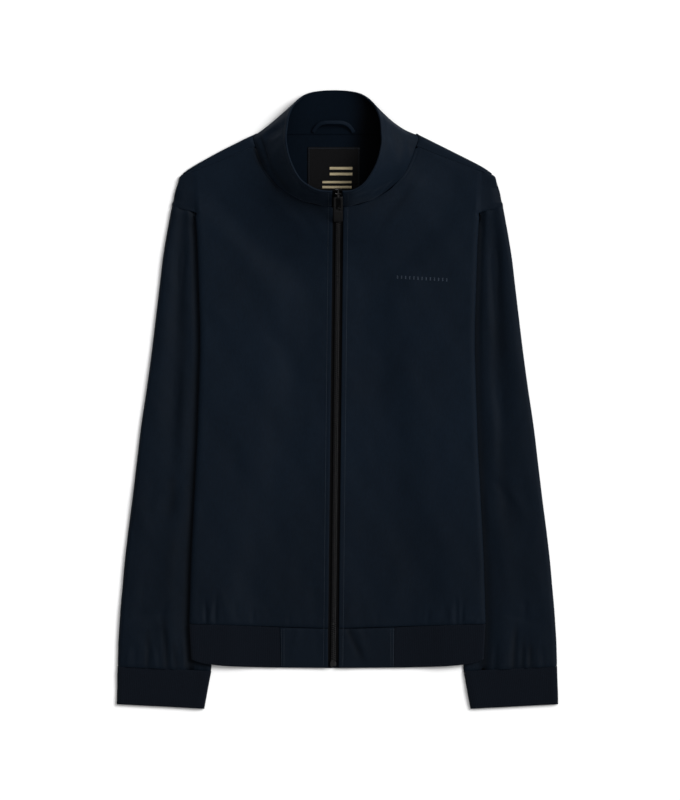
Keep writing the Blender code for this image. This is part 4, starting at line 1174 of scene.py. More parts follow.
def border_distances(grid):
    """Distances in millimetres from the first and last row, and from the first and last column."""
    from_top = np.pad(np.cumsum(spans(grid, 0), axis=0), ((1, 0), (0, 0)))
    from_left = np.pad(np.cumsum(spans(grid, 1), axis=1), ((0, 0), (1, 0)))
    return {
        "first_row": from_top, "last_row": from_top[-1:] - from_top,
        "first_column": from_left, "last_column": from_left[:, -1:] - from_left,
    }


def seam_drop(grid, seams):
    """How far the cloth is drawn in near its seams, with small uneven puckers beside the stitching."""
    depth = bpy.context.scene.jacket_cloth.seam_depth / MM
    distances = border_distances(grid)
    drop = np.zeros(grid.shape[:2])
    height, inset, width = SEAM_PUCKERS
    for seam in seams:
        gap = distances[seam]
        run = distances["first_column" if "row" in seam else "first_row"]
        pucker = np.sin(run / 2.1 + 1.3 * np.sin(run / 9.0)) * (0.55 + 0.45 * np.sin(run / 23.0 + 0.7))
        drop += depth * bell(gap, 0.0, 1.7) + height * pucker * bell(gap, inset, width)
    return drop


def stitched_edge(gap, edge):
    """Height of a rolled edge with its crest, less the groove that the topstitching draws in."""
    height, crest, groove = edge
    return height * bell(gap, crest, 2.0) - GROOVE_DEPTH * bell(gap, groove, 0.9)


def zip_column(side, at_zip):
    """Name of the border of a front or tab at the zip, or of the one across from it."""
    return "first_column" if (side > 0) == at_zip else "last_column"


def lowered(y):
    """How far down the jacket a place lies, from 0 at the waist to 1 at the hem."""
    return smooth((WAIST_Y - y) / WAIST_TO_HEM)


def linked(name, data):
    """A new object in the scene."""
    obj = bpy.data.objects.new(name, data)
    bpy.context.scene.collection.objects.link(obj)
    return obj


def mesh_from(shape, name, material=None):
    """The mesh of a shape built with bmesh, which is then freed."""
    mesh = bpy.data.meshes.new(name)
    shape.to_mesh(mesh)
    shape.free()
    if material:
        mesh.materials.append(material)
    return mesh


def smooth_but_edges(mesh):
    mesh.shade_smooth()
    mesh.set_sharp_from_angle(angle=SHARP_ANGLE)


def clothed(mesh, slot, shade=1.0):
    """Gives the mesh its finish, and nylon its reverse side and the painted shade: the share of its colour
    kept at each point.
    """
    mesh.materials.append(finish[slot])
    if slot == "shell":
        mesh.materials.append(finish["reverse"])
        layer = mesh.attributes.new("shade", "FLOAT", "POINT")
        values = np.broadcast_to(np.ravel(shade), len(mesh.vertices))
        layer.data.foreach_set("value", values.astype(np.float32))


def grid_object(name, grid, slot, closed=False, shade=1.0):
    """An open sheet from a grid in millimetres, with the distances along it as its UV map in metres."""
    rows, columns = grid.shape[:2]
    across = np.pad(np.cumsum(spans(grid, 1).mean(axis=0)), (1, 0))
    down = np.pad(np.cumsum(spans(grid, 0).mean(axis=1)), (1, 0))
    if closed:
        across = np.append(across, across[-1] + np.linalg.norm(grid[:, 0] - grid[:, -1], axis=-1).mean())
    i, j = np.meshgrid(np.arange(rows - 1), np.arange(columns if closed else columns - 1), indexing="ij")
    i, j = i.ravel(), j.ravel()
    k = (j + 1) % columns
    start = i * columns
    corners = np.stack([start + j, start + k, start + columns + k, start + columns + j], axis=1)
    place_u = np.stack([across[j], across[j + 1], across[j + 1], across[j]], axis=1)
    place_v = np.stack([down[i], down[i], down[i + 1], down[i + 1]], axis=1)
    mesh = bpy.data.meshes.new(name)
    mesh.from_pydata((grid.reshape(-1, 3) * MM).tolist(), [], corners.tolist())
    layer = mesh.uv_layers.new(name="cloth")
    layer.data.foreach_set("uv", (np.stack([place_u, place_v], axis=-1) * MM).ravel())
    clothed(mesh, slot, shade)
    mesh.shade_smooth()
    return linked(name, mesh)


def baked(obj):
    """The object with its modifiers' result as a plain mesh."""
    graph = bpy.context.evaluated_depsgraph_get()
    mesh = bpy.data.meshes.new_from_object(obj.evaluated_get(graph), depsgraph=graph)
    mesh.name = obj.name
    obj.modifiers.clear()
    old = obj.data
    obj.data = mesh
    bpy.data.meshes.remove(old)
    return obj


def walled(obj, wall, edge=CUT_EDGE):
    """Gives the sheet its wall, inwards, with its reverse side, and rounds the cut edges."""
    shell = obj.modifiers.new("wall", "SOLIDIFY")
    shell.thickness = wall * MM
    shell.offset = -1.0
    shell.use_even_offset = False
    shell.use_quality_normals = True
    shell.material_offset = len(obj.data.materials) - 1
    round_edge = obj.modifiers.new("edge", "BEVEL")
    round_edge.limit_method = "ANGLE"
    round_edge.angle_limit = BEVEL_ANGLE
    round_edge.width = edge * MM
    round_edge.segments = 2
    obj = baked(obj)
    for vert in obj.data.vertices:
        vert.co.z = max(vert.co.z, 0.0)
    obj.data.shade_smooth()
    return obj


def placed(obj, node, body="root"):
    """Rides the piece on its body in place of its CAD node."""
    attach(obj, body)
    if node:
        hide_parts(node)
    made[obj.name] = obj
    return obj


def cloth_piece(node, grid, slot="shell", wall=SHELL_WALL, edge=CUT_EDGE, closed=False, shade=1.0, knit=None):
    """The cloth in place of a CAD node, from its fine grid; knit is a tree with its inputs."""
    obj = grid_object("cloth_" + node, grid, slot, closed, shade)
    if knit:
        obj = grown(obj, *knit)
    return placed(walled(obj, wall, edge), node)


def sheet_of(obj, grid, closed=False):
    across = spans(grid, 1).sum(axis=1)
    if closed:
        across = across + np.linalg.norm(grid[:, 0] - grid[:, -1], axis=-1)


# ---- node trees ----


def add_node(tree, kind, inputs=(), **settings):
    """Adds a node, sets its properties, and sets or links its inputs, by name or by number."""
    node = tree.nodes.new(kind)
    for key, value in settings.items():
        setattr(node, key, value)
    for key, value in dict(inputs).items():
        if isinstance(value, bpy.types.NodeSocket):
            tree.links.new(value, node.inputs[key])
        else:
            node.inputs[key].default_value = value
    return node


def result_of(tree, kind, inputs=(), **settings):
    """Adds a node and gives its first output."""
    return add_node(tree, kind, inputs, **settings).outputs[0]


def new_tree(name, inputs):
    """An empty geometry tree with named inputs, and its input and output nodes."""
    tree = bpy.data.node_groups.new(name, "GeometryNodeTree")
    tree.interface.new_socket("Geometry", in_out="INPUT", socket_type="NodeSocketGeometry")
    for label, kind in inputs:
        tree.interface.new_socket(label, in_out="INPUT", socket_type="NodeSocket" + kind)
    tree.interface.new_socket("Geometry", in_out="OUTPUT", socket_type="NodeSocketGeometry")
    return tree, tree.nodes.new("NodeGroupInput").outputs, tree.nodes.new("NodeGroupOutput").inputs


def math_node(tree, operation, first, second=None):
    inputs = {0: first} if second is None else {0: first, 1: second}
    return result_of(tree, "ShaderNodeMath", inputs, operation=operation)


def finish_tree(tree, geometry, material, target):
    real = result_of(tree, "GeometryNodeRealizeInstances", {"Geometry": geometry})
    done = result_of(tree, "GeometryNodeSetMaterial", {"Geometry": real, "Material": material})
    tree.links.new(done, target["Geometry"])


def points_along(tree, given, ahead):
    """Points a pitch apart along the edges, and the turn that sets one axis ahead and Z to their 'up'."""
    curve = result_of(tree, "GeometryNodeMeshToCurve", {"Mesh": given["Geometry"]})
    spaced = {"Curve": curve, "Length": given["Pitch"]}
    points = add_node(tree, "GeometryNodeCurveToPoints", spaced, mode="LENGTH").outputs
    up = add_node(tree, "GeometryNodeInputNamedAttribute", {"Name": "up"}, data_type="FLOAT_VECTOR")
    kind = "FunctionNodeAlignRotationToVector"
    turn = result_of(tree, kind, {"Vector": points["Tangent"]}, axis=ahead)
    upright = {"Rotation": turn, "Vector": up.outputs["Attribute"]}
    turn = result_of(tree, kind, upright, axis="Z", pivot_axis=ahead)
    return points["Points"], turn


def instances(tree, points, piece, turn):
    inputs = {"Points": points, "Instance": piece, "Rotation": turn}
    return result_of(tree, "GeometryNodeInstanceOnPoints", inputs)


def stitch_tree():
    """Thread stitches along edges that carry an 'up' direction."""
    tree, given, target = new_tree(
        "stitch_row", [("Pitch", "Float"), ("Length", "Float"), ("Thread", "Float"), ("Material", "Material")]
    )
    points, turn = points_along(tree, given, "X")
    half = math_node(tree, "MULTIPLY", given["Length"], 0.5)
    flat = math_node(tree, "MULTIPLY", given["Thread"], 0.75)
    size = result_of(tree, "ShaderNodeCombineXYZ", {0: half, 1: given["Thread"], 2: flat})
    bead = result_of(tree, "GeometryNodeMeshUVSphere", {"Segments": 6, "Rings": 5, "Radius": 1.0})
    lying = {"Geometry": bead, "Rotation": (0.0, math.pi / 2, 0.0)}
    bead = result_of(tree, "GeometryNodeTransform", lying)
    bead = result_of(tree, "GeometryNodeTransform", {"Geometry": bead, "Scale": size})
    bead = result_of(tree, "GeometryNodeSetShadeSmooth", {"Geometry": bead})
    finish_tree(tree, instances(tree, points, bead, turn), given["Material"], target)
    return tree


def rib_tree():
    """Sinks the grooves between the rounded wales of a rib knit, across the sheet's first UV direction."""
    tree, given, target = new_tree(
        "rib_knit", [("Pitch", "Float"), ("Height", "Float"), ("Material", "Material")]
    )
    place = add_node(tree, "GeometryNodeInputNamedAttribute", {"Name": "cloth"}, data_type="FLOAT_VECTOR")
    parts = add_node(tree, "ShaderNodeSeparateXYZ", {0: place.outputs["Attribute"]}).outputs
    turns = math_node(tree, "DIVIDE", parts[0], given["Pitch"])
    wave = math_node(tree, "ABSOLUTE", math_node(tree, "SINE", math_node(tree, "MULTIPLY", turns, math.pi)))
    round_wave = math_node(tree, "POWER", wave, 0.7)
    lift = math_node(tree, "MULTIPLY", math_node(tree, "SUBTRACT", round_wave, 1.0), given["Height"])
    normal = result_of(tree, "GeometryNodeInputNormal")
    offset = result_of(tree, "ShaderNodeVectorMath", {0: normal, "Scale": lift}, operation="SCALE")
    moved = {"Geometry": given["Geometry"], "Offset": offset}
    knit = result_of(tree, "GeometryNodeSetPosition", moved)
    finish_tree(tree, knit, given["Material"], target)
    return tree


def tooth_tree():
    """Zip teeth along edges with an 'up' direction, every second one turned about."""
    tree, given, target = new_tree(
        "zip_teeth", [("Pitch", "Float"), ("Offset", "Float"), ("Tooth", "Object"), ("Material", "Material")]
    )
    points, turn = points_along(tree, given, "Y")
    tooth = add_node(tree, "GeometryNodeObjectInfo", {"Object": given["Tooth"]}).outputs["Geometry"]
    row = instances(tree, points, tooth, turn)
    index = result_of(tree, "GeometryNodeInputIndex")
    half_turn = math_node(tree, "MULTIPLY", math_node(tree, "MODULO", index, 2.0), math.pi)
    about = result_of(tree, "ShaderNodeCombineXYZ", {2: half_turn})
    row = result_of(tree, "GeometryNodeRotateInstances", {"Instances": row, "Rotation": about})
    shift = result_of(tree, "ShaderNodeCombineXYZ", {0: given["Offset"]})
    apart = {"Instances": row, "Translation": shift}
    row = result_of(tree, "GeometryNodeTranslateInstances", apart)
    finish_tree(tree, row, given["Material"], target)
    return tree


def grown(obj, tree, values):
    """Runs a geometry tree on the object with the named inputs, and keeps the result as a plain mesh."""
    modifier = obj.modifiers.new(tree.name, "NODES")
    modifier.node_group = tree
    for item in tree.interface.items_tree:
        if item.in_out == "INPUT" and item.name in values:
            modifier[item.identifier] = values[item.name]
    return baked(obj)


# ---- finishes ----


def new_material(name, colour, roughness, **sockets):
    """A finish under its name, with one colour and roughness to start from; gives its tree and its shader."""
    material = bpy.data.materials.new(name)
    material.use_nodes = True
    shader = material.node_tree.nodes["Principled BSDF"]
    shader.inputs["Base Color"].default_value = (*colour, 1.0)
    shader.inputs["Roughness"].default_value = roughness
    for key, value in sockets.items():
        shader.inputs[key.replace("_", " ")].default_value = value
    finish[name] = material
    return material.node_tree, shader


def object_noise(tree, scale, detail=3.0, stretch=None):
    place = add_node(tree, "ShaderNodeTexCoord").outputs["Object"]
    if stretch:
        place = result_of(tree, "ShaderNodeMapping", {"Vector": place, "Scale": stretch})
    noise = {"Vector": place, "Scale": scale, "Detail": detail}
    return add_node(tree, "ShaderNodeTexNoise", noise).outputs["Fac"]


def cloth_place(tree):
    """The two distances along the cloth, from its own UV map."""
    place = result_of(tree, "ShaderNodeUVMap", uv_map="cloth")
    return add_node(tree, "ShaderNodeSeparateXYZ", {0: place}).outputs


def thread_waves(tree, *pitches):
    """A wave across each direction of the cloth, with pitches in millimetres."""
    parts = cloth_place(tree)
    turns = [math_node(tree, "MULTIPLY", parts[k], math.pi / (pitch * MM)) for k, pitch in enumerate(pitches)]
    return [math_node(tree, "SINE", turn) for turn in turns]


def plain_weave(tree, pitch_u, pitch_v):
    """Height of a plain weave, from 0 to 1."""
    over = math_node(tree, "MULTIPLY", *thread_waves(tree, pitch_u, pitch_v))
    return result_of(tree, "ShaderNodeMath", {0: over, 1: 0.5, 2: 0.5}, operation="MULTIPLY_ADD")


def scaled(colour, factor):
    return tuple(min(1.0, channel * factor) for channel in colour)


def mixed_colour(tree, shader, factor, colour, shares, ramp_from=0.35, ramp_to=0.65):
    """Varies the base colour between two shares of a colour."""
    ramp = add_node(tree, "ShaderNodeValToRGB", {"Fac": factor})
    for stop, place, share in zip(ramp.color_ramp.elements, (ramp_from, ramp_to), shares):
        stop.position = place
        stop.color = (*scaled(colour, share), 1.0)
    tree.links.new(ramp.outputs[0], shader.inputs["Base Color"])
    return ramp.outputs[0]


def mixed_roughness(tree, shader, factor, low, high):
    ranged = {"Value": factor, "To Min": low, "To Max": high}
    tree.links.new(result_of(tree, "ShaderNodeMapRange", ranged), shader.inputs["Roughness"])


def bumped(tree, shader, heights):
    """Adds bumps to the shader: (height socket, distance in mm, strength) from coarse to fine."""
    normal = None
    for height, distance, strength in heights:
        inputs = {"Height": height, "Distance": distance * MM, "Strength": strength}
        if normal is not None:
            inputs["Normal"] = normal
        normal = result_of(tree, "ShaderNodeBump", inputs)
    tree.links.new(normal, shader.inputs["Normal"])


def finish_nylon(name, colour, gloss):
    """Woven nylon, plain weave with a slight slub and low sheen, darker where its painted shade says so."""
    tree, shader = new_material(
        name, colour, 0.62, Specular_IOR_Level=gloss, Sheen_Weight=gloss, Sheen_Roughness=0.45,
        Sheen_Tint=(0.55, 0.72, 1.0, 1.0),
    )
    weave = plain_weave(tree, 0.42, 0.36)
    slub = object_noise(tree, 900.0, 2.0, (1.0, 0.16, 1.0))
    cloudy = object_noise(tree, 9.0, 3.0)
    parts = math_node(tree, "MULTIPLY", slub, 0.55), math_node(tree, "MULTIPLY", cloudy, 0.45)
    dyed = mixed_colour(tree, shader, math_node(tree, "ADD", *parts), colour, (0.82, 1.18))
    # Painted shade: the colour scaled by the shade attribute, and on the reverse also by the painted collar
    # shadow
    shade = add_node(tree, "ShaderNodeAttribute", attribute_name="shade").outputs["Fac"]
    if name == "reverse":
        shade = math_node(tree, "MULTIPLY", shade, collar_shadow(tree))
    dark = result_of(tree, "ShaderNodeVectorMath", {0: dyed, "Scale": shade}, operation="SCALE")
    tree.links.new(dark, shader.inputs["Base Color"])
    mixed_roughness(tree, shader, cloudy, 0.56, 0.70)
    bumped(tree, shader, [(object_noise(tree, 60.0, 4.0), 0.35, 0.25), (slub, 0.06, 0.4), (weave, 0.05, 0.5)])


def collar_shadow(tree):
    """The share of its colour that the reverse side keeps under a painted shadow, from the wearer's right to
    left.
    """
    place = add_node(tree, "ShaderNodeTexCoord").outputs["Object"]
    across = result_of(tree, "ShaderNodeSeparateXYZ", {0: place})
    fading = {
        "Value": across, "From Min": SHADOW_FROM * MM, "From Max": SHADOW_TO * MM,
        "To Min": 1.0, "To Max": SHADOW_SHARE,
    }
    return result_of(tree, "ShaderNodeMapRange", fading, interpolation_type="SMOOTHSTEP")


def finish_rib(colour):
    """Rib knit: fine courses along the wales, matte and slightly fuzzy."""
    tree, shader = new_material(
        "rib", colour, 0.88, Specular_IOR_Level=0.03, Sheen_Weight=0.04, Sheen_Roughness=0.6,
        Sheen_Tint=(0.75, 0.82, 1.0, 1.0),
    )
    ridges = [math_node(tree, "ABSOLUTE", wave) for wave in thread_waves(tree, 0.6, 0.8)]
    fuzz = object_noise(tree, 1500.0, 2.0)
    mixed_colour(tree, shader, fuzz, colour, (0.75, 1.3))
    bumped(tree, shader, [(math_node(tree, "ADD", *ridges), 0.12, 0.5), (fuzz, 0.08, 0.4)])


def finish_tape(colour):
    """Zip tape: twill."""
    tree, shader = new_material("tape", colour, 0.8, Specular_IOR_Level=0.05)
    parts = cloth_place(tree)
    slant = math_node(tree, "MULTIPLY", math_node(tree, "ADD", parts[0], parts[1]), math.pi / (0.45 * MM))
    mixed_colour(tree, shader, object_noise(tree, 700.0, 2.0), colour, (0.8, 1.25))
    bumped(tree, shader, [(math_node(tree, "SINE", slant), 0.08, 0.6)])


def finish_teeth(colour):
    """Zip teeth: moulded plastic, semi-gloss, from the tape's colour."""
    tree, shader = new_material("teeth", scaled(colour, 1.6), 0.42, Specular_IOR_Level=0.16)
    scuff = object_noise(tree, 420.0, 3.0)
    mixed_roughness(tree, shader, scuff, 0.26, 0.46)
    mixed_colour(tree, shader, scuff, colour, (1.3, 2.0))


def finish_label(ground, bars):
    """Neck label: its woven ground and its bars."""
    tree, shader = new_material("label", ground, 0.72, Specular_IOR_Level=0.07)
    weave = plain_weave(tree, 0.3, 0.22)
    mixed_colour(tree, shader, object_noise(tree, 500.0, 2.0), ground, (0.85, 1.2))
    bumped(tree, shader, [(weave, 0.05, 0.6)])
    tree, shader = new_material("label_thread", bars, 0.7, Specular_IOR_Level=0.2)
    strands = object_noise(tree, 260.0, 2.0, (0.2, 6.0, 1.0))
    mixed_colour(tree, shader, strands, bars, (0.7, 1.15))
    bumped(tree, shader, [(strands, 0.1, 0.6)])


def finish_thread(name, colour):
    """Sewing thread with its twist."""
    tree, shader = new_material(name, colour, 0.5, Specular_IOR_Level=0.25, Sheen_Weight=0.05)
    twist = object_noise(tree, 1100.0, 1.0)
    mixed_colour(tree, shader, twist, colour, (0.75, 1.3))
    bumped(tree, shader, [(twist, 0.05, 0.5)])


def finish_metal(colour):
    """Lacquered metal of slider, pull and retainer, slightly worn."""
    tree, shader = new_material("zip_metal", colour, 0.3, Metallic=0.25, Specular_IOR_Level=0.3)
    wear = object_noise(tree, 240.0, 4.0)
    mixed_roughness(tree, shader, wear, 0.22, 0.42)
    mixed_colour(tree, shader, wear, colour, (0.8, 1.6), 0.45, 0.8)
    bumped(tree, shader, [(object_noise(tree, 500.0, 3.0), 0.04, 0.3)])


def finish_floor():
    """Pale floor, very slightly uneven."""
    grey = (FLOOR_GREY, FLOOR_GREY, FLOOR_GREY)
    tree, shader = new_material("floor", grey, 0.9, Specular_IOR_Level=0.0)
    mixed_colour(tree, shader, object_noise(tree, 3.0, 2.0), grey, FLOOR_SHARES)


# ---- operators, one for each piece or group ----


def panel_steps(shares):
    """Distances between points along and across a panel, in millimetres."""
    step = bpy.context.scene.jacket_cloth.panel_step / MM
    return [step * share for share in shares]


def mirrored(rows, side, turned):
    """The grid of one side, turned round where its faces would otherwise show their backs."""
    grid = np.array(rows)
    grid[..., 0] *= side
    return grid[:, ::-1] if turned else grid


class JACKET_OT_finishes(bpy.types.Operator):
    """Makes the materials of cloth, knit, thread, zip, label and floor"""

    bl_idname = "jacket.finishes"
    bl_label = "Finishes"

    def execute(self, context):
        colours = context.scene.jacket_colours
        finish_nylon("shell", colours.shell, 0.05)
        # The inner face, its colour darkened as painted shade
        finish_nylon("reverse", scaled(colours.shell, REVERSE_PAINTED_SHADE_SHARE), 0.02)
        finish_rib(colours.rib)
        finish_tape(colours.tape)
        finish_teeth(colours.tape)
        finish_label(colours.label, colours.label_thread)
        finish_thread("thread", colours.thread)
        finish_thread("mark_thread", colours.mark_thread)
        finish_metal(colours.metal)
        finish_floor()
        return {"FINISHED"}


class JACKET_OT_fronts(bpy.types.Operator):
    """Builds both fronts as cloth shells with their creases and drawn-in seams"""

    bl_idname = "jacket.fronts"
    bl_label = "Fronts"

    def execute(self, context):
        creases = context.scene.jacket_cloth.crease_share
        pucker, inset, width = ZIP_PUCKERS
        for side, word in SIDES:
            grid = fine_grid(mirrored(front_rows(side), side, side > 0), *panel_steps(FRONT_STEPS))
            normal = grid_normals(grid)
            x, y = grid[..., 0], grid[..., 1]
            distances = border_distances(grid)
            beside_zip = distances[zip_column(side, True)]
            flat_part = smooth(distances[zip_column(side, False)] / 16.0) * smooth(beside_zip / 22.0 + 0.15)
            lift = (fold_height(x, y, FRONT_FOLDS[word]) + undulation(x, y)) * flat_part * creases
            lift *= smooth(distances["first_row"] / 10.0 + 0.35)
            lift -= seam_drop(grid, ["first_row", "last_row"])
            lift += shoulder_creases(side * x, y) * creases
            lift += stitched_edge(beside_zip, ZIP_EDGE)
            uneven = np.sin(y / 4.6 + 1.7 * np.sin(y / 37.0))
            lift += pucker * uneven * bell(beside_zip, inset, width)
            grid = grid + normal * lift[..., None]
            # Painted shade along the neck seam and creases, towards the hem and on the dropped shoulder
            shade = 1.0 + fold_height(x, y, FRONT_SHADES[word]) - LOWER_SHADE * lowered(y)
            shoulder = smooth((side * x - side_fold(y)) / 4.0) * above_armhole(y)
            obj = cloth_piece("front_" + word, grid, shade=shade - SHOULDER_SHADE * shoulder)
            sheet_of(obj, grid)
        return {"FINISHED"}


def back_cage():
    """Points and faces of the back, flat but for its ramps, and of its shoulders' turns to the front."""
    rows = []
    for y in BACK_LOWER_Y:
        half = side_fold(y) - 0.2 + UNDERARM_CLOSE * smooth((y - 222.0) / 10.0)
        rows.append([(x, y, back_bottom(x, y)) for x in back_columns(half, y)])
    first_turn = len(rows) + len(BACK_TOP_ROWS)
    for half, y in [*BACK_TOP_ROWS, *[row[:2] for row in SHOULDER_WRAP], NECK_EDGE]:
        tuck = NECK_TUCK if y == NECK_EDGE[1] else 0.0
        rows.append([(x, y + tuck * smooth((94.0 - x) / 8.0), 0.0) for x in back_columns(half, y)])
    right = np.array(rows)
    full = np.concatenate([right[:, :0:-1] * (-1.0, 1.0, 1.0), right], axis=1)
    count, columns = full.shape[:2]
    points = [tuple(point) for point in full.reshape(-1, 3)]
    faces = []
    for i in range(count - 1):
        for a in range(i * columns, (i + 1) * columns - 1):
            faces.append((a, a + columns, a + columns + 1, a + 1))
    turns = [wrap_points(*row) for row in SHOULDER_WRAP] + [neck_corner_points()]
    for side in (-1, 1):
        edge_column = 0 if side < 0 else columns - 1
        previous = None
        for k, turn in enumerate(turns):
            ids = [(first_turn + k) * columns + edge_column, *range(len(points), len(points) + len(turn))]
            points += [(side * (x + neck_lean(side, y) * smooth(z / 3.0)), y, z) for x, y, z in turn]
            if previous:
                for a, b, c, d in zip(previous[:-1], previous[1:], ids[1:], ids[:-1]):
                    faces.append((a, b, c, d) if side < 0 else (a, d, c, b))
            previous = ids
    return points, faces


class JACKET_OT_back(bpy.types.Operator):
    """Builds the back with the turns of its shoulders"""

    bl_idname = "jacket.back"
    bl_label = "Back"

    def execute(self, context):
        points, faces = back_cage()
        mesh = bpy.data.meshes.new("cloth_back")
        mesh.from_pydata([(x * MM, y * MM, z * MM) for x, y, z in points], [], faces)
        clothed(mesh, "shell")
        obj = linked("cloth_back", mesh)
        finer = obj.modifiers.new("finer", "SUBSURF")
        finer.levels = finer.render_levels = 3
        finer.boundary_smooth = "PRESERVE_CORNERS"
        obj = baked(obj)
        co = np.array([vert.co for vert in obj.data.vertices]) / MM
        lift = fold_height(co[:, 0], co[:, 1], BACK_FOLDS) * smooth((BACK_LIFT - co[:, 2]) / 3.0)
        co[:, 2] += np.where(co[:, 1] > BACK_FLAT_ABOVE, 0.0, np.maximum(lift, 0.0))
        obj.data.vertices.foreach_set("co", (co * MM).ravel())
        loops = np.zeros(len(obj.data.loops), np.int32)
        obj.data.loops.foreach_get("vertex_index", loops)
        corners = co[loops]
        flat = np.stack([corners[:, 0], corners[:, 1] + corners[:, 2]], axis=1)
        obj.data.uv_layers.new(name="cloth").data.foreach_set("uv", (flat * MM).ravel())
        obj.data.shade_smooth()
        obj = placed(walled(obj, SHELL_WALL), "back_panel")
        return {"FINISHED"}


class JACKET_OT_sleeves(bpy.types.Operator):
    """Builds both sleeves as flattened tubes with their long troughs, creases and gathers"""

    bl_idname = "jacket.sleeves"
    bl_label = "Sleeves"

    def execute(self, context):
        creases = context.scene.jacket_cloth.crease_share
        depth, place, width, run = SLEEVE_CHANNEL
        for side, word in SIDES:
            rings = mirrored([sleeve_ring(step) for step in SLEEVE_STEPS], side, side < 0)
            grid = fine_grid(rings, *panel_steps(SLEEVE_GRID_STEPS), closed=True)
            normal = grid_normals(grid, closed=True)
            up = normal[..., 2]
            half, y = np.abs(grid[..., 0]), grid[..., 1]
            beside = half - side_fold(y)
            distances = border_distances(grid)
            head, cuff = distances["first_row"], distances["last_row"]
            shown = smooth((up - 0.5) / 0.4) * smooth((half - 182.0) / 12.0)
            lift = (fold_height(half, y, SLEEVE_FOLDS[word]) + 0.9 * undulation(half, y)) * shown * creases
            lift -= depth * bell(beside, place, width) * smooth((up - 0.4) / 0.4) * smooth(head / run)
            lift -= seam_drop(grid, ["first_row", "last_row"]) * smooth((up + 0.2) / 0.3)
            lift -= HEAD_DROP * bell(head, 0.0, 2.2) * smooth(up / 0.3)
            grid = grid + normal * lift[..., None]
            grid[..., 1] += HEAD_TUCK * bell(head, 0.0, 1.5) - CUFF_TUCK * bell(cuff, 0.0, 1.5)
            lowest = np.where(up > 0.3, 2.0 * SHELL_WALL, 0.0) * smooth(head / 6.0) * smooth(cuff / 6.0)
            grid[..., 2] = np.maximum(grid[..., 2], lowest)
            # Painted shade: a sleeve darker as a whole, in its troughs and gathers, towards the cuff and
            # beside the side fold
            shade = SLEEVE_SHADE + fold_height(half, y, SLEEVE_SHADES[word]) - CUFF_END_SHADE * lowered(y)
            shade = np.maximum(shade - BESIDE_FOLD_SHADE * bell(beside, 1.0, 6.5), LEAST_SHADE)
            obj = cloth_piece("sleeve_" + word, grid, closed=True, shade=shade)
            sheet_of(obj, grid, closed=True)
        return {"FINISHED"}


class JACKET_OT_ribs(bpy.types.Operator):
    """Builds the cuffs and the hem band's rib, with a node tree that sinks the grooves of their knit"""

    bl_idname = "jacket.ribs"
    bl_label = "Rib knit"

    def execute(self, context):
        cloth = context.scene.jacket_cloth
        steps = RIB_ALONG_STEP, cloth.rib_pitch / MM / STEPS_TO_RIB
        values = {"Pitch": cloth.rib_pitch, "Height": cloth.rib_height, "Material": finish["rib"]}
        knit = rib_tree(), values
        for side, word in SIDES:
            grid = mirrored([cuff_ring(step) for step in CUFF_STEPS], side, side < 0)
            grid = fine_grid(grid, *steps, closed=True)
            normal = grid_normals(grid, closed=True)
            waist = np.sin((grid[..., 1] - CUFF_BOTTOM_Y) / 9.0) * np.sin(grid[..., 0] / 21.0)
            grid = grid + normal * (CUFF_WAIST * waist * smooth(normal[..., 2] / 0.5))[..., None]
            obj = cloth_piece("cuff_" + word, grid, "rib", CUFF_WALL, closed=True, knit=knit)
            sheet_of(obj, grid, closed=True)
        grid = fine_grid(hem_rib_rows(), *steps)
        sheet_of(cloth_piece("hem_rib", grid, "rib", knit=knit), grid)
        return {"FINISHED"}


class JACKET_OT_tabs(bpy.types.Operator):
    """Builds the two plain tabs of the hem band beside the zip"""

    bl_idname = "jacket.tabs"
    bl_label = "Hem tabs"

    def execute(self, context):
        for side, word in SIDES:
            grid = fine_grid(mirrored(hem_tab_rows(side), side, side > 0), *panel_steps(TAB_STEPS))
            normal = grid_normals(grid)
            x, y = grid[..., 0], grid[..., 1]
            distances = border_distances(grid)
            lift = fold_height(x, y, TAB_FOLDS[word]) + 0.5 * undulation(x, y)
            lift -= seam_drop(grid, ["last_row", zip_column(side, False)])
            lift -= TAB_BOTTOM_ROLL * bell(distances["first_row"], 0.0, 1.2)
            lift += stitched_edge(distances[zip_column(side, True)], ZIP_EDGE)
            grid = grid + normal * lift[..., None]
            # Painted shade towards the hem, along the left tab's fold and over the whole left tab
            shade = 1.0 - LOWER_SHADE + fold_height(x, y, TAB_SHADES)
            if side > 0:
                shade -= LEFT_TAB_SHADE
            sheet_of(cloth_piece("hem_tab_" + word, grid, shade=shade), grid)
        return {"FINISHED"}


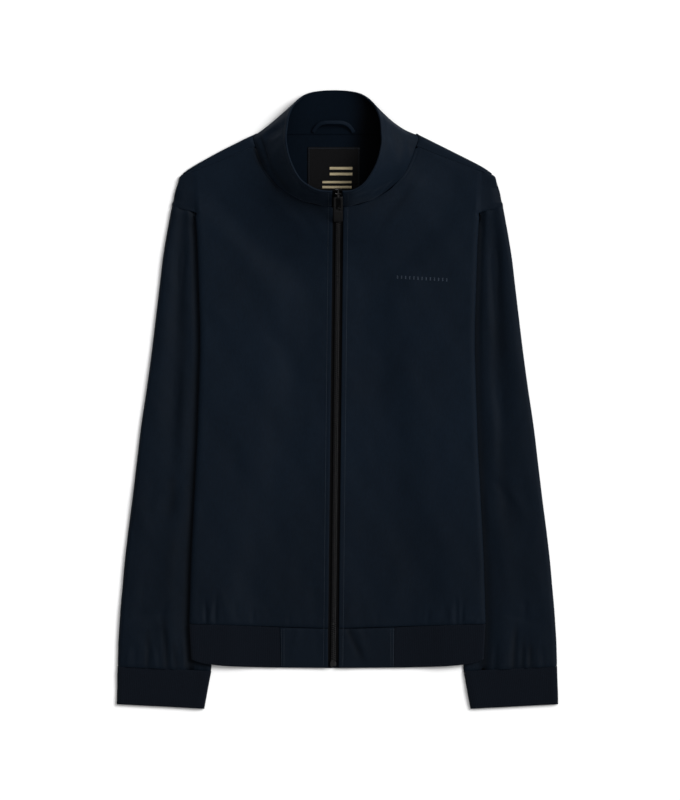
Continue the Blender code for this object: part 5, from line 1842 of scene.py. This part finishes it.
class JACKET_OT_collar(bpy.types.Operator):
    """Builds the stand collar with its waves and its rolled rim"""

    bl_idname = "jacket.collar"
    bl_label = "Collar"

    def execute(self, context):
        grid = fine_grid(collar_rows(), *COLLAR_GRID_STEPS)
        grid[..., 2] = np.maximum(grid[..., 2], 0.02)
        normal = grid_normals(grid)
        distances = border_distances(grid)
        seam, rim = distances["first_column"], distances["last_column"]
        place = np.linspace(0.0, 1.0, grid.shape[0])[:, None] * np.ones(grid.shape[:2])
        up = seam / np.maximum(seam[:, -1:], 1e-6)
        standing = smooth((grid[..., 2] - 6.0) / 14.0)
        lift = fold_height(grid[..., 0], grid[..., 1], COLLAR_FOLDS) * smooth(up / 0.08)
        lift *= smooth((1.0 - up) / 0.2)
        for where, width, height, lean in COLLAR_WAVES:
            wave = height * bell(place - lean * (up - 0.4), where, width)
            lift += COLLAR_WAVE_HEIGHT * wave * (1.0 - 0.55 * up)
        lift *= context.scene.jacket_cloth.crease_share
        lift += stitched_edge(rim, RIM_EDGE) - COLLAR_SEAM_SHARE * seam_drop(grid, ["first_column"])
        down = unit(-np.gradient(grid, axis=1)) * (COLLAR_CLOSE * bell(seam, 0.0, 1.2))[..., None]
        grid = grid + down + normal * (lift * standing)[..., None]
        # Painted shade along the collar seam and its crease on the wearer's right
        shade = 1.0 + fold_height(grid[..., 0], grid[..., 1], COLLAR_SHADES)
        obj = cloth_piece("collar", grid, wall=COLLAR_WALL, edge=COLLAR_EDGE, shade=shade)
        sheet_of(obj, grid)
        return {"FINISHED"}


def loop_rows():
    """The hanger loop as strips along its path, which runs from foot to foot and arches up between."""
    t = np.arange(-LOOP_POINTS, LOOP_POINTS + 1) / LOOP_POINTS
    x = LOOP_CENTRE_X + LOOP_HALF_SPAN * np.sign(t) * np.abs(t) ** 0.8
    y = LOOP_FOOT_Y + LOOP_DROP * (1.0 - np.abs(t) ** 3.2)
    z = LOOP_FOOT_Z + LOOP_RISE * (1.0 - np.abs(t) ** 2.2) + LOOP_WALL
    path = np.stack([x, y, z], axis=1)
    across = np.pad(left_of(np.gradient(path[:, :2], axis=0)), ((0, 0), (0, 1)))
    shares = np.linspace(-0.5, 0.5, 9)
    grid = np.array([path + across * LOOP_WIDTH * share for share in shares])
    grid[..., 2] -= LOOP_EDGE_DROP * np.abs(2.0 * shares)[:, None] ** 4
    return grid


def add_block(shape, size, place):
    """Adds a block to a bmesh, with its size and place in millimetres, and gives its corners."""
    corners = bmesh.ops.create_cube(shape, size=1.0)["verts"]
    bmesh.ops.scale(shape, vec=[length * MM for length in size], verts=corners)
    bmesh.ops.translate(shape, vec=[length * MM for length in place], verts=corners)
    return corners


class JACKET_OT_loop_and_label(bpy.types.Operator):
    """Builds the hanger loop and the neck label with its plain woven bars"""

    bl_idname = "jacket.loop_and_label"
    bl_label = "Loop and label"

    def execute(self, context):
        cloth_piece("hanger_loop", loop_rows(), wall=LOOP_WALL, edge=LOOP_EDGE)
        wide, long = LABEL_SIZE[0] / 2, LABEL_SIZE[1] / 2
        x, y = np.meshgrid(np.linspace(-wide, wide, 69), np.linspace(-long, long, 75))
        z = LABEL_TOP + LABEL_WAVE * np.sin(x / 11.0) * np.sin(y / 17.0 + 0.6)
        z -= LABEL_EDGE_DROP * (bell(np.abs(x), wide, 1.6) + bell(np.abs(y), long, 1.6))
        grid = np.stack([x + LABEL_CENTRE[0], y + LABEL_CENTRE[1], z], axis=-1)
        sheet_of(cloth_piece("neck_label", grid, "label", LABEL_WALL, LABEL_EDGE), grid)
        bars = bmesh.new()
        for low, high, y, height in LABEL_BARS:
            place = ((low + high) / 2, y, LABEL_TOP + LABEL_WAVE)
            add_block(bars, (high - low, height, LABEL_BAR_WALL), place)
        bmesh.ops.bevel(bars, geom=list(bars.edges), offset=LABEL_BAR_BEVEL * MM, segments=2, affect="EDGES")
        mesh = mesh_from(bars, "label_bars", finish["label_thread"])
        placed(linked("label_bars", mesh), None)
        return {"FINISHED"}


def line_object(name, lines):
    """Edges along lists of (point in metres, 'up' direction), each a line of its own."""
    points, edges, ups = [], [], []
    for line in lines:
        edges += [(k, k + 1) for k in range(len(points), len(points) + len(line) - 1)]
        points += [point for point, _ in line]
        ups += [up for _, up in line]
    mesh = bpy.data.meshes.new(name)
    mesh.from_pydata(points, edges, [])
    attribute = mesh.attributes.new("up", "FLOAT_VECTOR", "POINT")
    attribute.data.foreach_set("vector", np.array(ups, np.float32).ravel())
    return linked(name, mesh)


def zip_tooth():
    """One moulded tooth: a head that narrows to its tip, on a foot."""
    shape = bmesh.new()
    for vert in add_block(shape, TOOTH_HEAD, (0.0, 0.0, 0.0)):
        if vert.co.x < 0.0:
            vert.co.y *= TOOTH_TIP[0]
            vert.co.z *= TOOTH_TIP[1]
    add_block(shape, TOOTH_FOOT, (TOOTH_FOOT_X, 0.0, 0.0))
    bmesh.ops.bevel(shape, geom=list(shape.edges), offset=TOOTH_BEVEL * MM, segments=1, affect="EDGES")
    mesh = mesh_from(shape, "tooth")
    mesh.shade_smooth()
    return linked("tooth", mesh)


class JACKET_OT_zip(bpy.types.Operator):
    """Builds the zip's two tapes and its moulded teeth, which a node tree sets along the zip"""

    bl_idname = "jacket.zip"
    bl_label = "Zip"

    def execute(self, context):
        depth = SHELL_WALL + SEAM_GAP + TAPE_GAP
        for side, word in SIDES:
            ends = sorted((side * TAPE_SPLIT, side * (TAPE_SPLIT + TAPE_WIDTH)))
            grid = fine_grid(zip_ribbon(*ends, depth, 8), *TAPE_STEPS)
            sheet_of(cloth_piece("zip_tape_" + word, grid, "tape", TAPE_WALL, TAPE_EDGE), grid)
        spine = zip_ribbon(-1.0, 1.0, depth - SEAM_GAP * 1.5 - CHAIN_HEIGHT / 2, 3)[:-1]
        spine = fine_grid(spine, *SPINE_STEPS)
        line = line_object("zip_teeth", [list(zip(spine[:, 1] * MM, grid_normals(spine)[:, 1]))])
        tooth = zip_tooth()
        values = {
            "Pitch": context.scene.jacket_sewing.tooth_pitch, "Offset": TOOTH_OFFSET * MM,
            "Tooth": tooth, "Material": finish["teeth"],
        }
        obj = grown(line, tooth_tree(), values)
        bpy.data.objects.remove(tooth)
        placed(obj, "zip_chain")
        return {"FINISHED"}


def rounded_rectangle(width, low, high, radius, steps=6):
    """Corner-rounded outline in millimetres, centred on X, from a low to a high Y."""
    side = width / 2 - radius
    centres = ((side, high - radius), (-side, high - radius), (-side, low + radius), (side, low + radius))
    points = []
    for quarter, (x, y) in enumerate(centres):
        for k in range(steps + 1):
            turn = math.radians(90.0 * (quarter + k / steps))
            points.append((x + radius * math.cos(turn), y + radius * math.sin(turn)))
    return points


def flat_plate(name, outlines, thickness, bevel, place=(0.0, 0.0, 0.0)):
    """A metal plate from outlines in millimetres, the inner ones holes, with rounded edges, at its place."""
    curve = bpy.data.curves.new(name, "CURVE")
    curve.dimensions = "2D"
    curve.fill_mode = "BOTH"
    curve.extrude = (thickness / 2 - bevel) * MM
    curve.bevel_depth = bevel * MM
    curve.bevel_resolution = 2
    curve.offset = -bevel * MM
    for outline in outlines:
        spline = curve.splines.new("POLY")
        spline.points.add(len(outline) - 1)
        for point, (x, y) in zip(spline.points, outline):
            point.co = (x * MM, y * MM, 0.0, 1.0)
        spline.use_cyclic_u = True
    flat = linked(name, curve)
    graph = bpy.context.evaluated_depsgraph_get()
    raw = bpy.data.meshes.new_from_object(flat.evaluated_get(graph), depsgraph=graph)
    bpy.data.objects.remove(flat)
    shape = bmesh.new()
    shape.from_mesh(raw)
    bpy.data.meshes.remove(raw)
    bmesh.ops.remove_doubles(shape, verts=shape.verts, dist=WELD * MM)
    bmesh.ops.recalc_face_normals(shape, faces=shape.faces)
    plate = linked(name, mesh_from(shape, name, finish["zip_metal"]))
    smooth_but_edges(plate.data)
    plate.matrix_world = Matrix.Translation(Vector(place) * MM)
    return plate


def strap(name, path, width, thickness):
    """A flat metal strap with rounded edges along a path of (Y, Z) points in millimetres."""
    path = np.array(path)
    outer = path + left_of(np.gradient(path, axis=0)) * thickness
    across = np.linspace(-width / 2, width / 2, 5)
    grid = np.array([[(x, y, z) for x in across] for y, z in outer])
    return walled(grid_object(name, grid, "zip_metal"), thickness, STRAP_EDGE)


def merged(name, pieces, matrix):
    """One metal object from several, with its place in its mesh."""
    shape = bmesh.new()
    for piece in pieces:
        part = piece.data.copy()
        part.transform(matrix @ piece.matrix_world)
        shape.from_mesh(part)
        bpy.data.meshes.remove(part)
        bpy.data.objects.remove(piece)
    obj = linked(name, mesh_from(shape, name, finish["zip_metal"]))
    smooth_but_edges(obj.data)
    return obj


def slider_pieces():
    """The slider's two plates, its post and its bridge, with the zip's surface at Z = 0."""
    half, long = SLIDER_WIDTH / 2, SLIDER_LENGTH / 2
    outline = [(half * x, long * y) for x, y in SLIDER_OUTLINE]
    outline += [(0.0, long * SLIDER_NOTCH)] + [(-x, y) for x, y in reversed(outline)]
    pieces = []
    for name, low in (("slider_top", PLATE_LOW), ("slider_under", PLATE_LOW - SLIDER_GAP - SLIDER_PLATE)):
        middle = (0.0, 0.0, low + SLIDER_PLATE / 2)
        pieces.append(flat_plate(name, [outline], SLIDER_PLATE, 0.4, middle))
    width, low, high = POST
    post = rounded_rectangle(width, long - low, long - high, 0.5)
    middle = (0.0, 0.0, PLATE_LOW - SLIDER_GAP / 2)
    pieces.append(flat_plate("slider_post", [post], SLIDER_GAP + 1.0, 0.1, middle))
    top = PLATE_LOW + SLIDER_PLATE - 0.2
    crown = top + BRIDGE_HEIGHT + 0.2 - BRIDGE_ROUND
    turns = np.linspace(0.0, math.pi, BRIDGE_POINTS)
    path = [(BRIDGE_MIDDLE - BRIDGE_HALF_RUN, top)]
    for turn in turns:
        rise = max(math.sin(turn), 0.0) ** 0.6
        path.append((BRIDGE_MIDDLE - BRIDGE_HALF_RUN * math.cos(turn), crown + BRIDGE_ROUND * rise))
    path.append((BRIDGE_MIDDLE + BRIDGE_HALF_RUN, top))
    pieces.append(strap("slider_bridge", path, BRIDGE_WIDTH, BRIDGE_WALL))
    return pieces


def pull_pieces():
    """The pull, hanging down from its hinge at Y = 0: slotted plate, raised face and hinge bar."""
    width, reach = PULL_SLOT
    body = rounded_rectangle(PULL_WIDTH, -PULL_LENGTH, 0.9, 2.6)
    slot = rounded_rectangle(width, -reach, -1.0, 2.4)
    face = rounded_rectangle(
        PULL_WIDTH - 2 * FACE_INSET, -PULL_LENGTH + FACE_END_INSET, -reach - FACE_END_INSET, 1.6
    )
    bar = rounded_rectangle(width + BAR_OVERHANG, -0.8, 0.8, 0.5)
    return [
        flat_plate("pull_plate", [body, slot], PULL_WALL, 0.45),
        flat_plate("pull_face", [face], PULL_WALL + FACE_RISE, 0.3),
        flat_plate("pull_bar", [bar], BAR_WALL, 0.4),
    ]


def retainer_pieces(size):
    """The box of the CAD's size at the foot of the zip, and the pin end that it holds."""
    width, long, height = size
    low, high = PIN_PAST
    box = rounded_rectangle(width, -long / 2, long / 2, 1.2)
    pin = rounded_rectangle(PIN_WIDTH, -long / 2 - low, long / 2 + high, 1.2)
    return [
        flat_plate("zip_foot", [box], height, 0.6),
        flat_plate("zip_pin", [pin], PIN_WALL, 0.6, PIN_PLACE),
    ]


class JACKET_OT_slider(bpy.types.Operator):
    """Builds the slider, its pull on the hinge and the retainer at the foot of the zip"""

    bl_idname = "jacket.slider"
    bl_label = "Slider and pull"

    def execute(self, context):
        placed(merged("slider", slider_pieces(), slider_frame()), "zip_slider")
        hinge = Vector(frame["joints"][0]["pos_m"])
        slope = Matrix.Translation(hinge) @ Matrix.Rotation(math.radians(PULL_SLOPE_DEG), 4, "X")
        placed(merged("pull", pull_pieces(), slope), "pull_tab", "pull")
        low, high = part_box("zip_box")
        middle = Matrix.Translation((low + high) / 2)
        placed(merged("retainer", retainer_pieces((high - low) / MM), middle), "zip_box")
        return {"FINISHED"}


def cloth_surface(name):
    """A search tree over a named piece, for laying thread on it."""
    mesh = made[name].data
    faces = [face.vertices[:] for face in mesh.polygons]
    return BVHTree.FromPolygons([vert.co for vert in mesh.vertices], faces)


def laid_line(surface, places, above=THREAD_LIFT):
    """Points and surface normals where a line of (X, Y) places in millimetres meets the cloth from above."""
    line = []
    for x, y in places:
        spot, normal, _, _ = surface.ray_cast(Vector((x * MM, y * MM, 0.2)), Vector((0.0, 0.0, -1.0)))
        if spot is not None:
            line.append((spot + normal * above * MM, normal))
    return line


def line_between(start, end, count):
    return [between(start, end, share) for share in np.linspace(0.0, 1.0, count)]


class JACKET_OT_stitching(bpy.types.Operator):
    """Lays the topstitching, the label's stitches and the small plain mark on the chest"""

    bl_idname = "jacket.stitching"
    bl_label = "Stitching"

    def execute(self, context):
        sewing = context.scene.jacket_sewing
        tree = stitch_tree()
        values = {
            "Pitch": sewing.stitch_pitch, "Length": sewing.stitch_length, "Thread": sewing.thread / 2,
            "Material": finish["thread"],
        }
        lines = []
        for side, word in SIDES:
            inset = side * (ZIP_HALF_OPENING + ZIP_STITCH_INSET)
            for name, low, high in STITCHED_RUNS:
                ys = np.linspace(low, high, max(6, int((high - low) / 1.5)))
                surface = cloth_surface(name.replace("SIDE", word))
                lines.append(laid_line(surface, [(zip_x(y) + inset, y) for y in ys]))
            tab = cloth_surface("cloth_hem_tab_" + word)
            for offset in TAB_STITCH_INSETS:
                x = side * (TAB_HALF_WIDTH - offset)
                lines.append(laid_line(tab, line_between((x, TAB_STITCH_Y[0]), (x, TAB_STITCH_Y[1]), 40)))
        placed(grown(line_object("stitches_front", lines), tree, values), None)
        label = cloth_surface("cloth_neck_label")
        wide, long = LABEL_SIZE[0] / 2 - LABEL_STITCH_INSET, LABEL_SIZE[1] / 2 - LABEL_STITCH_INSET
        x, y = LABEL_CENTRE
        corners = [(x + a * wide, y + b * long) for a, b in ((-1, -1), (1, -1), (1, 1), (-1, 1), (-1, -1))]
        rows = [line_between(start, end, 40) for start, end in zip(corners[:-1], corners[1:])]
        lines = [laid_line(label, row, 0.05) for row in rows]
        placed(grown(line_object("stitches_label", lines), tree, values | LABEL_STITCHES), None)
        chest = cloth_surface("cloth_front_left")
        lines = []
        for k in range(MARK_ROWS):
            x, y = MARK_START[0], MARK_START[1] + (k - (MARK_ROWS - 1) / 2) * MARK_ROW_GAP
            row = line_between((x, y), (x + MARK_RUN[0], y + MARK_RUN[1]), 60)
            lines.append(laid_line(chest, row, 0.1))
        values = values | MARK_STITCHES | {"Material": finish["mark_thread"]}
        placed(grown(line_object("chest_mark", lines), tree, values), None)
        return {"FINISHED"}


def sun(name, strength, size, height, turn):
    """A distant light of an angular size, at an angle above the floor, turned from +X."""
    light = bpy.data.lights.new(name, "SUN")
    light.energy = strength
    light.angle = size
    level = math.cos(height)
    side = Vector((level * math.cos(turn), level * math.sin(turn), math.sin(height)))
    lamp = linked(name, light)
    lamp.location = side * LIGHT_DISTANCE
    lamp.rotation_euler = (-side).to_track_quat("-Z", "Y").to_euler()


class JACKET_OT_stage(bpy.types.Operator):
    """Sets the pale floor, the soft lights and the camera above the jacket"""

    bl_idname = "jacket.stage"
    bl_label = "Stage"

    def execute(self, context):
        stage = context.scene.jacket_stage
        scene = context.scene
        bpy.ops.mesh.primitive_plane_add(size=stage.floor_size, location=(0.0, 0.0, FLOOR_Z))
        floor = context.object
        floor.name = "floor"
        floor.data.materials.append(finish["floor"])
        sun("key", stage.key_strength, stage.key_size, stage.key_height, stage.key_turn)
        sun("fill", stage.fill_strength, stage.fill_size, stage.fill_height, stage.fill_turn)
        world = bpy.data.worlds.new("sky")
        world.use_nodes = True
        background = world.node_tree.nodes["Background"].inputs
        background["Color"].default_value = (1.0, 1.0, 1.0, 1.0)
        background["Strength"].default_value = stage.sky
        scene.world = world
        scene.view_settings.view_transform = "Standard"
        camera = bpy.data.cameras.new("camera")
        camera.sensor_width = SENSOR_WIDTH
        camera.lens = SENSOR_WIDTH * stage.camera_height / stage.frame_height
        camera.clip_end = CAMERA_REACH
        scene.camera = linked("camera", camera)
        scene.camera.location = (*CAMERA_XY, stage.camera_height)
        return {"FINISHED"}


OPERATORS = (
    JACKET_OT_finishes, JACKET_OT_fronts, JACKET_OT_back, JACKET_OT_sleeves, JACKET_OT_ribs, JACKET_OT_tabs,
    JACKET_OT_loop_and_label, JACKET_OT_collar, JACKET_OT_zip, JACKET_OT_slider, JACKET_OT_stitching,
    JACKET_OT_stage,
)
GROUPS = (
    ("jacket_cloth", JacketCloth), ("jacket_sewing", JacketSewing), ("jacket_colours", JacketColours),
    ("jacket_stage", JacketStage),
)


class JACKET_PT_panel(bpy.types.Panel):
    """Sizes, colours and steps of the jacket"""

    bl_label = "Bomber Jacket"
    bl_idname = "JACKET_PT_panel"
    bl_space_type = "VIEW_3D"
    bl_region_type = "UI"
    bl_category = "Jacket"

    def draw(self, context):
        for name, group in GROUPS:
            box = self.layout.box()
            for key in group.__annotations__:
                box.prop(getattr(context.scene, name), key)
        for operator in OPERATORS:
            self.layout.operator(operator.bl_idname)


def register():
    for name, group in GROUPS:
        bpy.utils.register_class(group)
        setattr(bpy.types.Scene, name, bpy.props.PointerProperty(type=group))
    for operator in OPERATORS:
        bpy.utils.register_class(operator)
    bpy.utils.register_class(JACKET_PT_panel)


def unregister():
    bpy.utils.unregister_class(JACKET_PT_panel)
    for operator in reversed(OPERATORS):
        bpy.utils.unregister_class(operator)
    for name, group in reversed(GROUPS):
        delattr(bpy.types.Scene, name)
        bpy.utils.unregister_class(group)


def main():
    register()
    for operator in OPERATORS:
        group, name = operator.bl_idname.split(".")
        getattr(getattr(bpy.ops, group), name)()
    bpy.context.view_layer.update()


if __name__ == "__main__":
    main()
